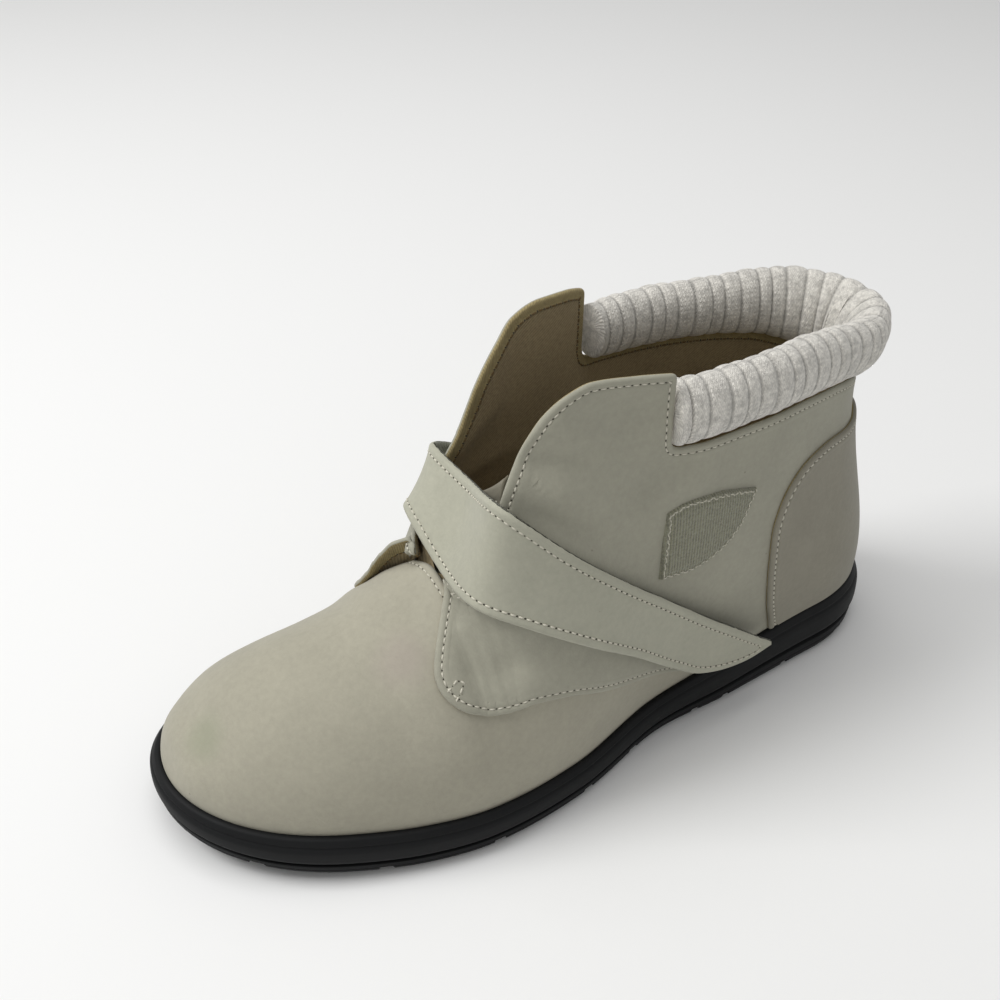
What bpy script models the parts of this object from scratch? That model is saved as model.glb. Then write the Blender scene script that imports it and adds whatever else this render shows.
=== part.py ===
"""Left winter ankle boot: cup sole, hollow lasted upper, knit collar and an open strap.

Metres, +Z up, toe towards -Y, the outer (lateral) side of the foot towards +X.
A station runs along the shoe from 0 at the back of the heel to 1 at the toe tip.
"""

import bpy
import bmesh
import numpy as np

# Sole
SOLE_LENGTH = 0.276
BALL_WIDTH = 0.100
HEEL_WIDTH = 0.070
SOLE_HEEL_HEIGHT = 0.0227
SOLE_FORE_HEIGHT = 0.0144
TOE_SPRING = 0.0073
HEEL_SPRING = 0.0020
ARCH_RISE = 0.0010
SIDE_STEP = 0.0016
LIP_WIDTH = 0.0042
LIP_DEPTH = 0.0030
GROOVE_WIDTH = 0.0042
GROOVE_DEPTH = 0.0026
INSOLE_THICKNESS = 0.0040

# Upper
WALL = 0.0020
COLLAR_HEIGHT = 0.122
EAR_HEIGHT = 0.1495
INSTEP_HEIGHT = 0.0785
ANKLE_WIDTH = 0.074
SIDE_BULGE = 0.0065
HEEL_LEAN = 0.0120
OVERLAY = 0.0013
FAR_LOBE_LIFT = 0.0030
TONGUE_WIDTH = 0.034

# Collar, tongue, strap, patch
ROLL_THICKNESS = 0.0145
ROLL_HEIGHT = 0.0220
TONGUE_THICKNESS = 0.0026
STRAP_WIDTH = 0.035
STRAP_THICKNESS = 0.0024
STRAP_SLACK = 0.0020
STRAP_CROWN = 0.05
PATCH_THICKNESS = 0.0012
CLEARANCE = 0.0003
SEAT = 0.00060

LATERAL = 1
MEDIAL = -1

# Sole outline. Columns: station, share of half the heel width, share of half the ball width,
# sideways shift of the centre as a share of half the ball width.
OUTLINE = [
    (0.00, 0.96, 0.000, 0.00),
    (0.15, 1.00, 0.000, 0.00),
    (0.30, 0.60, 0.310, 0.02),
    (0.42, 0.30, 0.510, 0.06),
    (0.56, 0.00, 0.920, 0.05),
    (0.68, 0.00, 1.000, 0.01),
    (0.84, 0.00, 0.925, -0.11),
    (1.00, 0.00, 0.960, -0.30),
]

# Top edge of the sole. Columns: station, shares of heel height, fore height and toe spring.
SOLE_EDGE = [
    (0.00, 1.00, 0.00, 0.00),
    (0.20, 0.98, 0.00, 0.00),
    (0.42, 0.12, 0.90, 0.00),
    (0.65, 0.00, 1.00, 0.00),
    (0.90, 0.00, 1.00, 0.44),
    (1.00, 0.00, 0.90, 1.00),
]

# Side of the sole from the floor up. Columns: share of the height, inset in side steps.
SOLE_SIDE = [
    (0.00, 1.30),
    (0.07, 0.75),
    (0.29, 0.40),
    (0.32, 1.25),
    (0.37, 1.25),
    (0.41, 0.30),
    (0.56, 0.00),
    (0.72, 0.10),
    (0.84, 0.55),
    (1.00, 1.50),
]

# Stations of the grooves between the lugs.
GROOVES = [0.083, 0.190, 0.297, 0.350, 0.459, 0.542, 0.674, 0.807, 0.935]

# Line the outer quarter's sections rise to, from the back seam to the throat. Columns:
# station, share of half the ankle width before the heel's rounding, shares of collar, ear and
# instep height.
LATERAL_CROWN = [
    (0.000, 0.500, 0.869, 0.000, 0.000),
    (0.030, 0.510, 0.877, 0.000, 0.000),
    (0.070, 0.550, 0.898, 0.000, 0.000),
    (0.120, 0.635, 0.932, 0.000, 0.000),
    (0.200, 0.811, 1.000, 0.000, 0.000),
    (0.300, 0.946, 0.500, 0.470, 0.000),
    (0.380, 0.973, 0.160, 0.815, 0.000),
    (0.440, 0.914, 0.000, 0.982, 0.000),
    (0.480, 0.852, 0.000, 0.990, 0.000),
    (0.530, 0.811, 0.000, 1.000, 0.000),
    (0.560, 0.784, 0.000, 0.983, 0.000),
    (0.585, 0.730, 0.000, 0.943, 0.000),
    (0.607, 0.676, 0.000, 0.720, 0.285),
    (0.625, 0.622, 0.000, 0.500, 0.500),
    (0.641, 0.550, 0.000, 0.230, 0.760),
    (0.652, 0.400, 0.000, 0.000, 1.020),
]

# The same for the inner quarter, which stands a little lower and further back.
MEDIAL_CROWN = [
    (0.000, 0.500, 0.869, 0.000, 0.000),
    (0.030, 0.510, 0.877, 0.000, 0.000),
    (0.070, 0.550, 0.889, 0.000, 0.000),
    (0.120, 0.635, 0.918, 0.000, 0.000),
    (0.200, 0.811, 0.970, 0.000, 0.000),
    (0.300, 0.919, 0.500, 0.460, 0.000),
    (0.370, 0.892, 0.100, 0.850, 0.000),
    (0.420, 0.800, 0.000, 0.963, 0.000),
    (0.460, 0.757, 0.000, 0.967, 0.000),
    (0.500, 0.743, 0.000, 0.943, 0.000),
    (0.525, 0.703, 0.000, 0.896, 0.000),
    (0.555, 0.676, 0.000, 0.650, 0.316),
    (0.580, 0.649, 0.000, 0.450, 0.520),
    (0.600, 0.622, 0.000, 0.330, 0.660),
    (0.635, 0.595, 0.000, 0.120, 0.905),
    (0.652, 0.450, 0.000, 0.000, 1.020),
]

# Seam under the collar. Columns: station, outer and inner height as shares of collar height.
COLLAR_SEAM = [
    (0.000, 0.869, 0.869),
    (0.030, 0.877, 0.877),
    (0.070, 0.898, 0.889),
    (0.120, 0.926, 0.910),
    (0.200, 0.961, 0.927),
    (0.300, 0.981, 0.935),
    (0.370, 0.986, 0.945),
    (0.430, 0.988, 0.950),
]

# Station of the notch where the collar ends against the ear, outer and inner side.
LATERAL_NOTCH = 0.4330
MEDIAL_NOTCH = 0.3880
NOTCH_ROUND = 0.0035

# Crest of the vamp from the throat to the toe. Columns: station, share of the rise of the
# instep above the sole's edge.
RIDGE = [
    (0.665, 1.000),
    (0.690, 0.938),
    (0.720, 0.881),
    (0.780, 0.749),
    (0.850, 0.633),
    (0.910, 0.493),
    (0.955, 0.309),
    (0.985, 0.172),
    (1.000, 0.000),
]

# Form of each section. Columns: station, outer and inner bulge as shares of the side bulge,
# height of the low handle, outward and downward pull of the top handle, fullness of the inner
# side as a share of the outer.
SECTIONS = [
    (0.000, 0.23, 0.23, 0.35, 0.10, 0.45, 1.00),
    (0.130, 0.92, 0.92, 0.35, 0.00, 0.40, 1.00),
    (0.300, 1.00, 0.77, 0.34, 0.00, 0.40, 1.00),
    (0.450, 1.15, 0.77, 0.34, 0.05, 0.40, 1.00),
    (0.560, 0.92, 0.77, 0.34, 0.10, 0.35, 1.00),
    (0.620, 0.77, 0.70, 0.36, 0.15, 0.25, 0.92),
    (0.652, 0.62, 0.40, 0.45, 0.30, 0.05, 0.70),
    (0.665, 0.62, 0.20, 0.45, 0.50, 0.02, 0.60),
    (0.780, 0.46, 0.15, 0.55, 0.58, 0.00, 0.59),
    (0.900, 0.31, 0.30, 0.60, 0.60, 0.00, 0.74),
    (1.000, 0.00, 0.00, 0.60, 0.60, 0.00, 0.90),
]

# How far the top edge leans forward over the heel. Columns: station, share of the heel lean.
HEEL_LEANS = [
    (0.00, 1.00),
    (0.03, 0.79),
    (0.07, 0.42),
    (0.12, 0.08),
    (0.20, 0.00),
    (1.00, 0.00),
]

# Edge of the quarter where it lies on the vamp, from the throat round the lobe to the sole.
# Columns: station, height share of the section, station and height share of the line behind
# it where the overlay runs out, share of the lift.
LOBE = [
    (0.6705, 0.865, 0.6675, 0.815, 0.60),
    (0.682, 0.835, 0.668, 0.76, 0.95),
    (0.697, 0.78, 0.668, 0.71, 1.00),
    (0.711, 0.71, 0.676, 0.67, 0.50),
    (0.719, 0.64, 0.683, 0.63, 0.12),
    (0.718, 0.57, 0.686, 0.59, 0.00),
    (0.707, 0.50, 0.684, 0.55, 0.00),
    (0.688, 0.44, 0.675, 0.505, 0.00),
    (0.660, 0.38, 0.655, 0.45, 0.00),
    (0.620, 0.32, 0.613, 0.385, 0.00),
    (0.575, 0.265, 0.565, 0.33, 0.00),
    (0.520, 0.21, 0.512, 0.29, 0.00),
    (0.453, 0.15, 0.455, 0.24, 0.00),
    (0.395, 0.09, 0.400, 0.18, 0.00),
    (0.345, 0.02, 0.355, 0.11, 0.00),
]

# Front edge of the back panel. Columns: height share of the section, station.
COUNTER_EDGE = [
    (0.010, 0.222),
    (0.190, 0.245),
    (0.370, 0.256),
    (0.500, 0.259),
    (0.620, 0.248),
    (0.680, 0.233),
    (0.730, 0.211),
    (0.785, 0.165),
    (0.840, 0.060),
    (0.870, 0.004),
]

# Loop patch. Columns: station, lower and upper height as shares of the collar height.
PATCH = [
    (0.442, 0.607, 0.740),
    (0.436, 0.605, 0.785),
    (0.425, 0.608, 0.802),
    (0.404, 0.612, 0.811),
    (0.371, 0.607, 0.811),
    (0.340, 0.615, 0.800),
    (0.325, 0.640, 0.792),
    (0.313, 0.672, 0.784),
    (0.305, 0.715, 0.778),
    (0.297, 0.760, 0.771),
]

# Section of the collar roll. Columns: station, middle moved outwards as a share of the roll's
# thickness, lean outwards in degrees, share of the roll's thickness, shares of the roll's
# height on the outer and the inner side.
COLLAR_FORM = [
    (0.000, 0.03, 24.0, 1.04, 1.17, 1.17),
    (0.050, 0.00, 20.0, 1.03, 1.08, 1.17),
    (0.120, -0.13, 10.0, 1.00, 1.00, 1.08),
    (0.200, -0.24, 0.0, 1.00, 0.98, 1.00),
    (0.300, -0.25, -2.0, 1.00, 0.98, 0.98),
    (0.430, -0.26, -4.0, 0.96, 0.98, 0.94),
]

# Strap from its sewn end on the inner side, over the throat, to its free tip on the outer side.
# Columns: side (-1 inner wall, 0 over the throat, 1 outer wall), station and height of the upper
# edge (height as a share of the instep height), share of the strap width, slant of the cross
# line forward in degrees, lift as a share of the lip width, and over the throat x of the upper
# and lower edge as shares of half the ankle width.
STRAP = [
    (-1, 0.455, 0.800, 0.76, 40.0, 0.00, 0.00, 0.00),
    (-1, 0.480, 0.920, 0.80, 38.0, 0.00, 0.00, 0.00),
    (-1, 0.530, 1.130, 0.90, 30.0, 0.10, 0.00, 0.00),
    (0, 0.592, 1.290, 0.66, 42.0, 0.00, -0.80, -0.605),
    (0, 0.601, 1.335, 0.84, 32.0, 0.00, 0.00, 0.15),
    (0, 0.622, 1.470, 0.99, 16.0, 0.00, 0.76, 0.79),
    (1, 0.571, 1.287, 0.78, 28.0, 0.00, 0.00, 0.00),
    (1, 0.496, 1.045, 0.64, 40.0, 0.00, 0.00, 0.00),
    (1, 0.433, 0.866, 0.61, 41.0, 0.10, 0.00, 0.00),
    (1, 0.365, 0.675, 0.61, 40.0, 0.50, 0.00, 0.00),
    (1, 0.322, 0.560, 0.58, 38.0, 0.80, 0.00, 0.00),
    (1, 0.290, 0.470, 0.42, 30.0, 1.00, 0.00, 0.00),
    (1, 0.262, 0.390, 0.20, 20.0, 1.10, 0.00, 0.00),
    (1, 0.247, 0.350, 0.04, 0.0, 1.15, 0.00, 0.00),
]

# Tongue from inside the vamp to its slanting top edge. Columns: station, heights of the
# middle, outer and inner edge as shares of the instep height.
TONGUE = [
    (0.700, 0.845, 0.790, 0.725),
    (0.665, 0.914, 0.860, 0.780),
    (0.642, 0.949, 0.905, 0.850),
    (0.622, 1.045, 1.032, 0.994),
    (0.607, 1.166, 1.236, 1.096),
    (0.596, 1.287, 1.503, 1.172),
]

# Stations where the heel's and the toe's rounding ends, where the throat ends on the vamp, and
# the height share of the line inside the ears where it meets the throat.
HEEL_END = 0.14
TOE_END = 0.24
THROAT = 0.665
LOW_EAR = 0.86

# Stations of the faceted sections, the height shares of their lower faces, and the number of
# faces from those up to the collar's seam and from there to an ear's top.
STATIONS = [
    0.000, 0.004, 0.014, 0.030, 0.052, 0.082, 0.120, 0.165, 0.215, 0.260, 0.300, 0.340,
    0.465, 0.500, 0.530, 0.560, 0.583, 0.602, 0.618, 0.631, 0.641, 0.647, 0.652, 0.665,
    0.690, 0.722, 0.760, 0.798, 0.835, 0.870, 0.902, 0.930, 0.953, 0.971, 0.985, 0.994,
    0.998, 1.000,
]
LOW_SHARES = [0.0, 0.08, 0.18, 0.30, 0.43, 0.56, 0.68]
SEAM_STEPS = 2
EAR_STEPS = 3


def smooth(x, xs, ys):
    """Cubic through a table; each inner slope is the mean of its two spans, weighted by the
    length of the other span."""
    h = np.diff(xs)
    d = np.diff(ys) / h
    m = np.empty(len(xs))
    m[1:-1] = (d[:-1] * h[1:] + d[1:] * h[:-1]) / (h[:-1] + h[1:])
    m[0], m[-1] = d[0], d[-1]
    return hermite(x, xs, ys, m)


def steady(x, xs, ys):
    """Cubic through a table that never overshoots: an inner slope is the harmonic mean of its
    two spans, or nothing where they turn."""
    h = np.diff(xs)
    d = np.diff(ys) / h
    m = np.zeros(len(xs))
    same = d[:-1] * d[1:] > 0
    a = np.where(same, d[:-1], 1.0)
    b = np.where(same, d[1:], 1.0)
    m[1:-1] = np.where(same, (h[:-1] + h[1:]) / (h[:-1] / b + h[1:] / a), 0.0)
    m[0], m[-1] = d[0], d[-1]
    return hermite(x, xs, ys, m)


def hermite(x, xs, ys, m):
    """Cubic pieces with the given slopes at the table's places."""
    h = np.diff(xs)
    k = np.clip(np.searchsorted(xs, x) - 1, 0, len(h) - 1)
    t = (x - xs[k]) / h[k]
    return (
        (2 * t**3 - 3 * t**2 + 1) * ys[k]
        + (t**3 - 2 * t**2 + t) * h[k] * m[k]
        + (-2 * t**3 + 3 * t**2) * ys[k + 1]
        + (t**3 - t**2) * h[k] * m[k + 1]
    )


def column(table, index, x, rule=smooth):
    """Value of a table's column at the places x of its first column."""
    rows = np.asarray(table, float)
    return rule(np.asarray(x, float), rows[:, 0], rows[:, index])


def round_end(x, power):
    """Superellipse quarter: 0 at x = 0, 1 from x = 1 on."""
    return (1 - np.clip(1 - x, 0, 1) ** power) ** (1 / power)


def ends(s):
    """Rounding of the heel and toe ends of the outline."""
    s = np.asarray(s, float)
    return round_end(s / HEEL_END, 2.2) * round_end((1 - s) / TOE_END, 2.1)


def outline(s, inset):
    """Centre, half width and y of the sole's outline, moved in by inset."""
    s = np.asarray(s, float)
    half = column(OUTLINE, 1, s) * HEEL_WIDTH / 2 + column(OUTLINE, 2, s) * BALL_WIDTH / 2
    centre = column(OUTLINE, 3, s) * BALL_WIDTH / 2
    return centre, (half - inset) * ends(s), (0.5 - s) * (SOLE_LENGTH - 2 * inset)


def sole_top(s):
    """Height of the sole's top edge."""
    return (
        column(SOLE_EDGE, 1, s) * SOLE_HEEL_HEIGHT
        + column(SOLE_EDGE, 2, s) * SOLE_FORE_HEIGHT
        + column(SOLE_EDGE, 3, s) * TOE_SPRING
    )


def sole_bottom(s):
    """Height of the tread: flat, raised at the toe, the heel's end and the arch."""
    s = np.asarray(s, float)
    toe = TOE_SPRING * np.clip((s - 0.72) / 0.28, 0, 1) ** 2
    heel = HEEL_SPRING * np.clip((0.08 - s) / 0.08, 0, 1) ** 2
    arch = ARCH_RISE * np.cos(np.clip((s - 0.40) / 0.10, -1, 1) * np.pi / 2) ** 2
    return toe + heel + arch


def tray(s):
    """Height of the floor of the cup that the upper and the insole stand in."""
    return sole_top(s) - LIP_DEPTH


def crown(side, s):
    """x and z of the line the sections rise to: the quarter's behind the throat, the vamp's
    crest before it."""
    rows = np.asarray(LATERAL_CROWN if side == LATERAL else MEDIAL_CROWN)
    crest = np.asarray(RIDGE)
    quarter_x = side * rows[:, 1] * ANKLE_WIDTH / 2
    quarter_z = rows[:, 2] * COLLAR_HEIGHT + rows[:, 3] * EAR_HEIGHT + rows[:, 4] * INSTEP_HEIGHT
    crest_x = column(OUTLINE, 3, crest[:, 0]) * BALL_WIDTH / 2
    crest_z = sole_top(crest[:, 0]) + crest[:, 1] * (INSTEP_HEIGHT - SOLE_FORE_HEIGHT)
    stations = np.concatenate([rows[:, 0], crest[:, 0]])
    x = steady(s, stations, np.concatenate([quarter_x, crest_x]))
    z = steady(s, stations, np.concatenate([quarter_z, crest_z]))
    return x * round_end(s / HEEL_END, 2.2), z


def last(side, s, v):
    """Outer face of the upper: at each station a Bezier curve from the feather line, v = 0,
    up and out over the bulge, to the top edge, v = 1."""
    s = np.asarray(s, float)
    v = np.asarray(v, float)[..., None]
    centre, half, y = outline(s, LIP_WIDTH)
    x0, z0 = centre + side * half, sole_top(s)
    x3, z3 = crown(side, s)
    y3 = y - HEEL_LEAN * column(HEEL_LEANS, 1, s)
    bulge = SIDE_BULGE * column(SECTIONS, 1 if side == LATERAL else 2, s) * ends(s)
    full = 1.0 if side == LATERAL else column(SECTIONS, 6, s)
    low = column(SECTIONS, 3, s) * full
    out = column(SECTIONS, 4, s) * (1 + full) / 2
    down = column(SECTIONS, 5, s)
    p0 = np.stack([x0, y, z0], -1)
    y1 = y + 0.2 * SIDE_BULGE * (1 - ends(s)) * (s < 0.5)
    p1 = np.stack([x0 + side * bulge, y1, z0 + low * (z3 - z0)], -1)
    p2 = np.stack([x3 + out * (x0 - x3), y3 + 0.1 * (y - y3), z3 - down * (z3 - z0)], -1)
    p3 = np.stack([x3, y3, z3], -1)
    return (1 - v) ** 3 * p0 + 3 * (1 - v) ** 2 * v * p1 + 3 * (1 - v) * v**2 * p2 + v**3 * p3


def unit(a):
    """Vectors of length one."""
    return a / np.linalg.norm(a, axis=-1, keepdims=True)


def last_normal(side, s, v):
    """Outward normal of the upper's face, from differences along and up it."""
    step = 0.002
    s = np.clip(s, step, 1 - 2 * step)
    v = np.clip(v, step, 1 - step)
    along = last(side, s + step, v) - last(side, s - step, v)
    up = last(side, s, v + step) - last(side, s, v - step)
    return unit(np.cross(up, along)) * side


def on_last(side, s, v, off):
    """Point at a distance off outside the upper's face."""
    off = np.asarray(off, float)
    return last(side, s, v) + last_normal(side, s, v) * off[..., None]


def share_at(side, s, z):
    """Height share v at which the section of each station s reaches the height z."""
    shares = np.linspace(0, 1, 81)
    s, z = np.broadcast_arrays(np.asarray(s, float), np.asarray(z, float))
    rises = last(side, s.ravel()[:, None] + 0 * shares, 0 * s.ravel()[:, None] + shares)[..., 2]
    found = [np.interp(want, rise, shares) for want, rise in zip(z.ravel(), rises)]
    return np.array(found).reshape(s.shape)


def collar_seam(side, s):
    """Height of the seam under the collar."""
    index = 1 if side == LATERAL else 2
    return column(COLLAR_SEAM, index, np.minimum(s, COLLAR_SEAM[-1][0])) * COLLAR_HEIGHT


def notch(side):
    """Station where the collar ends against the ear."""
    return LATERAL_NOTCH if side == LATERAL else MEDIAL_NOTCH


def seam_share(side, s):
    """Height share of the collar's seam, rounded up into the ear's upright edge behind the
    notch; before the notch an inner line that runs on to the throat."""
    s = np.asarray(s, float)
    start = notch(side)
    behind = (start - s) * SOLE_LENGTH
    into = np.clip(NOTCH_ROUND - behind, 0, NOTCH_ROUND)
    corner = NOTCH_ROUND - np.sqrt(NOTCH_ROUND**2 - into**2)
    seam = share_at(side, np.minimum(s, start), collar_seam(side, s) + corner)
    forward = np.clip((s - start) / (THROAT - start), 0, 1)
    return seam + (LOW_EAR - seam) * forward


def edge_share(side, s):
    """Height share of the upper's top edge: the collar's seam behind the notch and the whole
    section before it."""
    return np.where(np.asarray(s, float) < notch(side), seam_share(side, s), 1.0)


def wall_point(side, s, z, off):
    """Point outside the quarter at a station and height."""
    return on_last(side, s, share_at(side, s, z), off)


def strap_edges():
    """Upper and lower edge points of the strap's inner face, one pair for each table row."""
    run = SOLE_LENGTH - 2 * LIP_WIDTH
    upper, lower = [], []
    for side, s, rise, share, slant, lift, x_upper, x_lower in STRAP:
        turn = np.radians(slant)
        width = share * STRAP_WIDTH
        z = rise * INSTEP_HEIGHT
        low_z = z - width * np.cos(turn)
        low_s = s + width * np.sin(turn) / run
        off = STRAP_SLACK + lift * LIP_WIDTH
        if side == 0:
            upper.append((x_upper * ANKLE_WIDTH / 2, (0.5 - s) * run, z))
            lower.append((x_lower * ANKLE_WIDTH / 2, (0.5 - low_s) * run, low_z))
        else:
            upper.append(wall_point(side, s, z, off))
            lower.append(wall_point(side, low_s, low_z, off))
    return np.array(upper), np.array(lower)


def strap_grid(along_count, across_count):
    """Points of the strap's inner face: both edges are curves through the table's rows, and
    the strip between them is slightly crowned."""
    upper, lower = strap_edges()
    spans = np.linalg.norm(np.diff((upper + lower) / 2, axis=0), axis=-1)
    rows = np.concatenate([[0], np.cumsum(spans)]) / np.sum(spans)
    t = np.linspace(0, 1, along_count)
    a = np.stack([smooth(t, rows, upper[:, k]) for k in range(3)], -1)
    b = np.stack([smooth(t, rows, lower[:, k]) for k in range(3)], -1)
    across = np.linspace(0, 1, across_count)[None, :, None]
    heading = unit(np.gradient((a + b) / 2, axis=0))
    width = np.linalg.norm(a - b, axis=-1)
    outward = unit(np.cross(heading, b - a + 1e-6))
    crowned = STRAP_CROWN * width[:, None, None] * 4 * across * (1 - across)
    return a[:, None] * (1 - across) + b[:, None] * across + outward[:, None] * crowned


def lobe_line(t, place):
    """Stations and height shares along the lobe's edge (place 0) or the line behind it (1)."""
    rows = np.asarray(LOBE)
    at = np.linspace(0, 1, len(rows))
    return smooth(t, at, rows[:, 2 * place]), smooth(t, at, rows[:, 2 * place + 1])


def tongue_grid(along_count, across_count):
    """Middle surface of the tongue: across it a parabola through its inner edge, middle and
    outer edge heights."""
    rows = np.asarray(TONGUE)
    at = np.linspace(0, 1, len(rows))
    t = np.linspace(0, 1, along_count)
    u = np.linspace(-1, 1, across_count)[None, :]
    s, mid, outer, inner = (smooth(t, at, rows[:, k])[:, None] for k in range(4))
    z = (mid + (outer - inner) / 2 * u + ((outer + inner) / 2 - mid) * u**2) * INSTEP_HEIGHT
    x = TONGUE_WIDTH / 2 * u + 0 * s
    y = (0.5 - s) * (SOLE_LENGTH - 2 * LIP_WIDTH) + 0 * u
    return np.stack([x, y, z], -1)


def collar_rings(count, points):
    """Rings of the collar roll from the outer notch round the heel to the inner notch: each is
    an ellipse that leans outwards and stands on the upper's top edge."""
    gap = 2 * CLEARANCE / SOLE_LENGTH
    spread = np.linspace(0, 1, count) ** 1.8
    outer = (LATERAL_NOTCH - gap) * spread
    inner = (MEDIAL_NOTCH - gap) * spread[1:]
    near_notch = NOTCH_ROUND / SOLE_LENGTH * np.array([0.85, 0.55, 0.3, 0.12])
    outer = np.sort(np.concatenate([outer, LATERAL_NOTCH - gap - near_notch]))[::-1]
    inner = np.sort(np.concatenate([inner, MEDIAL_NOTCH - gap - near_notch]))
    rings = []
    turn = np.linspace(0, 2 * np.pi, points, endpoint=False)
    for side, stations in ((LATERAL, outer), (MEDIAL, inner)):
        for s in stations:
            share = edge_share(side, s)
            foot = last(side, s, share)
            out = last_normal(side, s, share) * (1, 1, 0)
            out = (0, 1, 0) if s < 1e-9 else unit(out)
            move, lean, thick = (column(COLLAR_FORM, k, s) for k in (1, 2, 3))
            tall = column(COLLAR_FORM, 4 if side == LATERAL else 5, s)
            lean = np.radians(lean)
            crest = collar_seam(side, s) + ROLL_HEIGHT * tall
            base = foot[2] + CLEARANCE
            half_z = (crest - base) / 2
            b = ROLL_THICKNESS * thick / 2
            a = np.sqrt(np.clip(half_z**2 - (b * np.sin(lean)) ** 2, 1e-9, None)) / np.cos(lean)
            across = a * np.cos(turn) * np.sin(lean) + b * np.sin(turn) * np.cos(lean)
            up = a * np.cos(turn) * np.cos(lean) - b * np.sin(turn) * np.sin(lean)
            middle = foot + np.multiply(out, move * ROLL_THICKNESS)
            middle[2] = base + half_z
            rings.append(middle + across[:, None] * np.asarray(out) + up[:, None] * (0, 0, 1))
    return np.array(rings)


def make_object(name, vertices, faces, material, collection):
    """Mesh object with its doubles merged."""
    mesh = bpy.data.meshes.new(name)
    mesh.from_pydata([tuple(v) for v in vertices], [], faces)
    work = bmesh.new()
    work.from_mesh(mesh)
    bmesh.ops.remove_doubles(work, verts=work.verts, dist=1e-6)
    bmesh.ops.dissolve_degenerate(work, edges=work.edges, dist=1e-7)
    bmesh.ops.recalc_face_normals(work, faces=work.faces)
    work.to_mesh(mesh)
    work.free()
    mesh.materials.append(material)
    piece = bpy.data.objects.new(name, mesh)
    collection.objects.link(piece)
    return piece


def shade(piece, degrees):
    """Smooth shading with edges sharper than the angle kept."""
    piece.data.shade_smooth()
    piece.data.set_sharp_from_angle(angle=np.radians(degrees))


def make_material(name, color, roughness):
    """Principled material; colour in linear values."""
    material = bpy.data.materials.new(name)
    material.use_nodes = True
    shader = material.node_tree.nodes["Principled BSDF"]
    shader.inputs["Base Color"].default_value = (*color, 1)
    shader.inputs["Roughness"].default_value = roughness
    shader.inputs["Metallic"].default_value = 0
    return material


def grid_faces(rows, columns, first=0, closed=False):
    """Quads of a grid of points stored row by row; closed joins the last column to the first."""
    faces = []
    for i in range(rows - 1):
        for j in range(columns if closed else columns - 1):
            k = (j + 1) % columns
            a, b = first + i * columns, first + (i + 1) * columns
            faces.append((a + j, a + k, b + k, b + j))
    return faces


def add_wall(piece, thickness, offset):
    """Solidify: offset -1 grows the wall inwards, 1 outwards, 0 both ways."""
    wall = piece.modifiers.new("Wall", "SOLIDIFY")
    wall.thickness = thickness
    wall.offset = offset
    wall.use_rim = True


def face_away(piece, towards):
    """Flip an open surface whose faces, taken together, don't look along the direction."""
    total = np.zeros(3)
    for face in piece.data.polygons:
        total += np.array(face.normal) * face.area
    if np.dot(total, towards) < 0:
        piece.data.flip_normals()


def closed_sheet(outer, inner):
    """Vertices and faces of a solid between two grids of points, closed round its edge."""
    rows, columns = outer.shape[:2]
    vertices = np.concatenate([outer.reshape(-1, 3), inner.reshape(-1, 3)])
    shift = rows * columns
    faces = grid_faces(rows, columns)
    faces += [tuple(reversed(f)) for f in grid_faces(rows, columns, shift)]
    border = [j for j in range(columns)]
    border += [i * columns + columns - 1 for i in range(1, rows)]
    border += [(rows - 1) * columns + j for j in range(columns - 2, -1, -1)]
    border += [i * columns for i in range(rows - 2, 0, -1)]
    for a, b in zip(border, border[1:] + border[:1]):
        faces.append((b, a, a + shift, b + shift))
    return vertices, faces


def ladder(stations, inset, height):
    """Points down both sides of the outline at the given height, outer side first."""
    centre, half, y = outline(stations, inset)
    z = height(stations)
    outer = np.stack([centre + half, y, z], -1)
    inner = np.stack([centre - half, y, z], -1)
    return outer, inner


def ring_of(stations, inset, height):
    """Closed loop of points round the outline, from the heel down the outer side and back."""
    outer, inner = ladder(stations, inset, height)
    return np.concatenate([outer, inner[-2:0:-1]])


def cap_faces(count, first):
    """Quads across a loop made by ring_of, between points of the same station."""
    loop = 2 * count - 2
    faces = []
    for i in range(count - 1):
        a, b = first + i, first + i + 1
        c, d = first + (loop - i) % loop, first + (loop - i - 1) % loop
        faces.append(tuple(dict.fromkeys((a, b, d, c))))
    return faces


def end_spaced(count):
    """Stations that crowd together towards the heel and the toe."""
    return 0.5 - 0.5 * np.cos(np.pi * np.linspace(0, 1, count))


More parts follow.
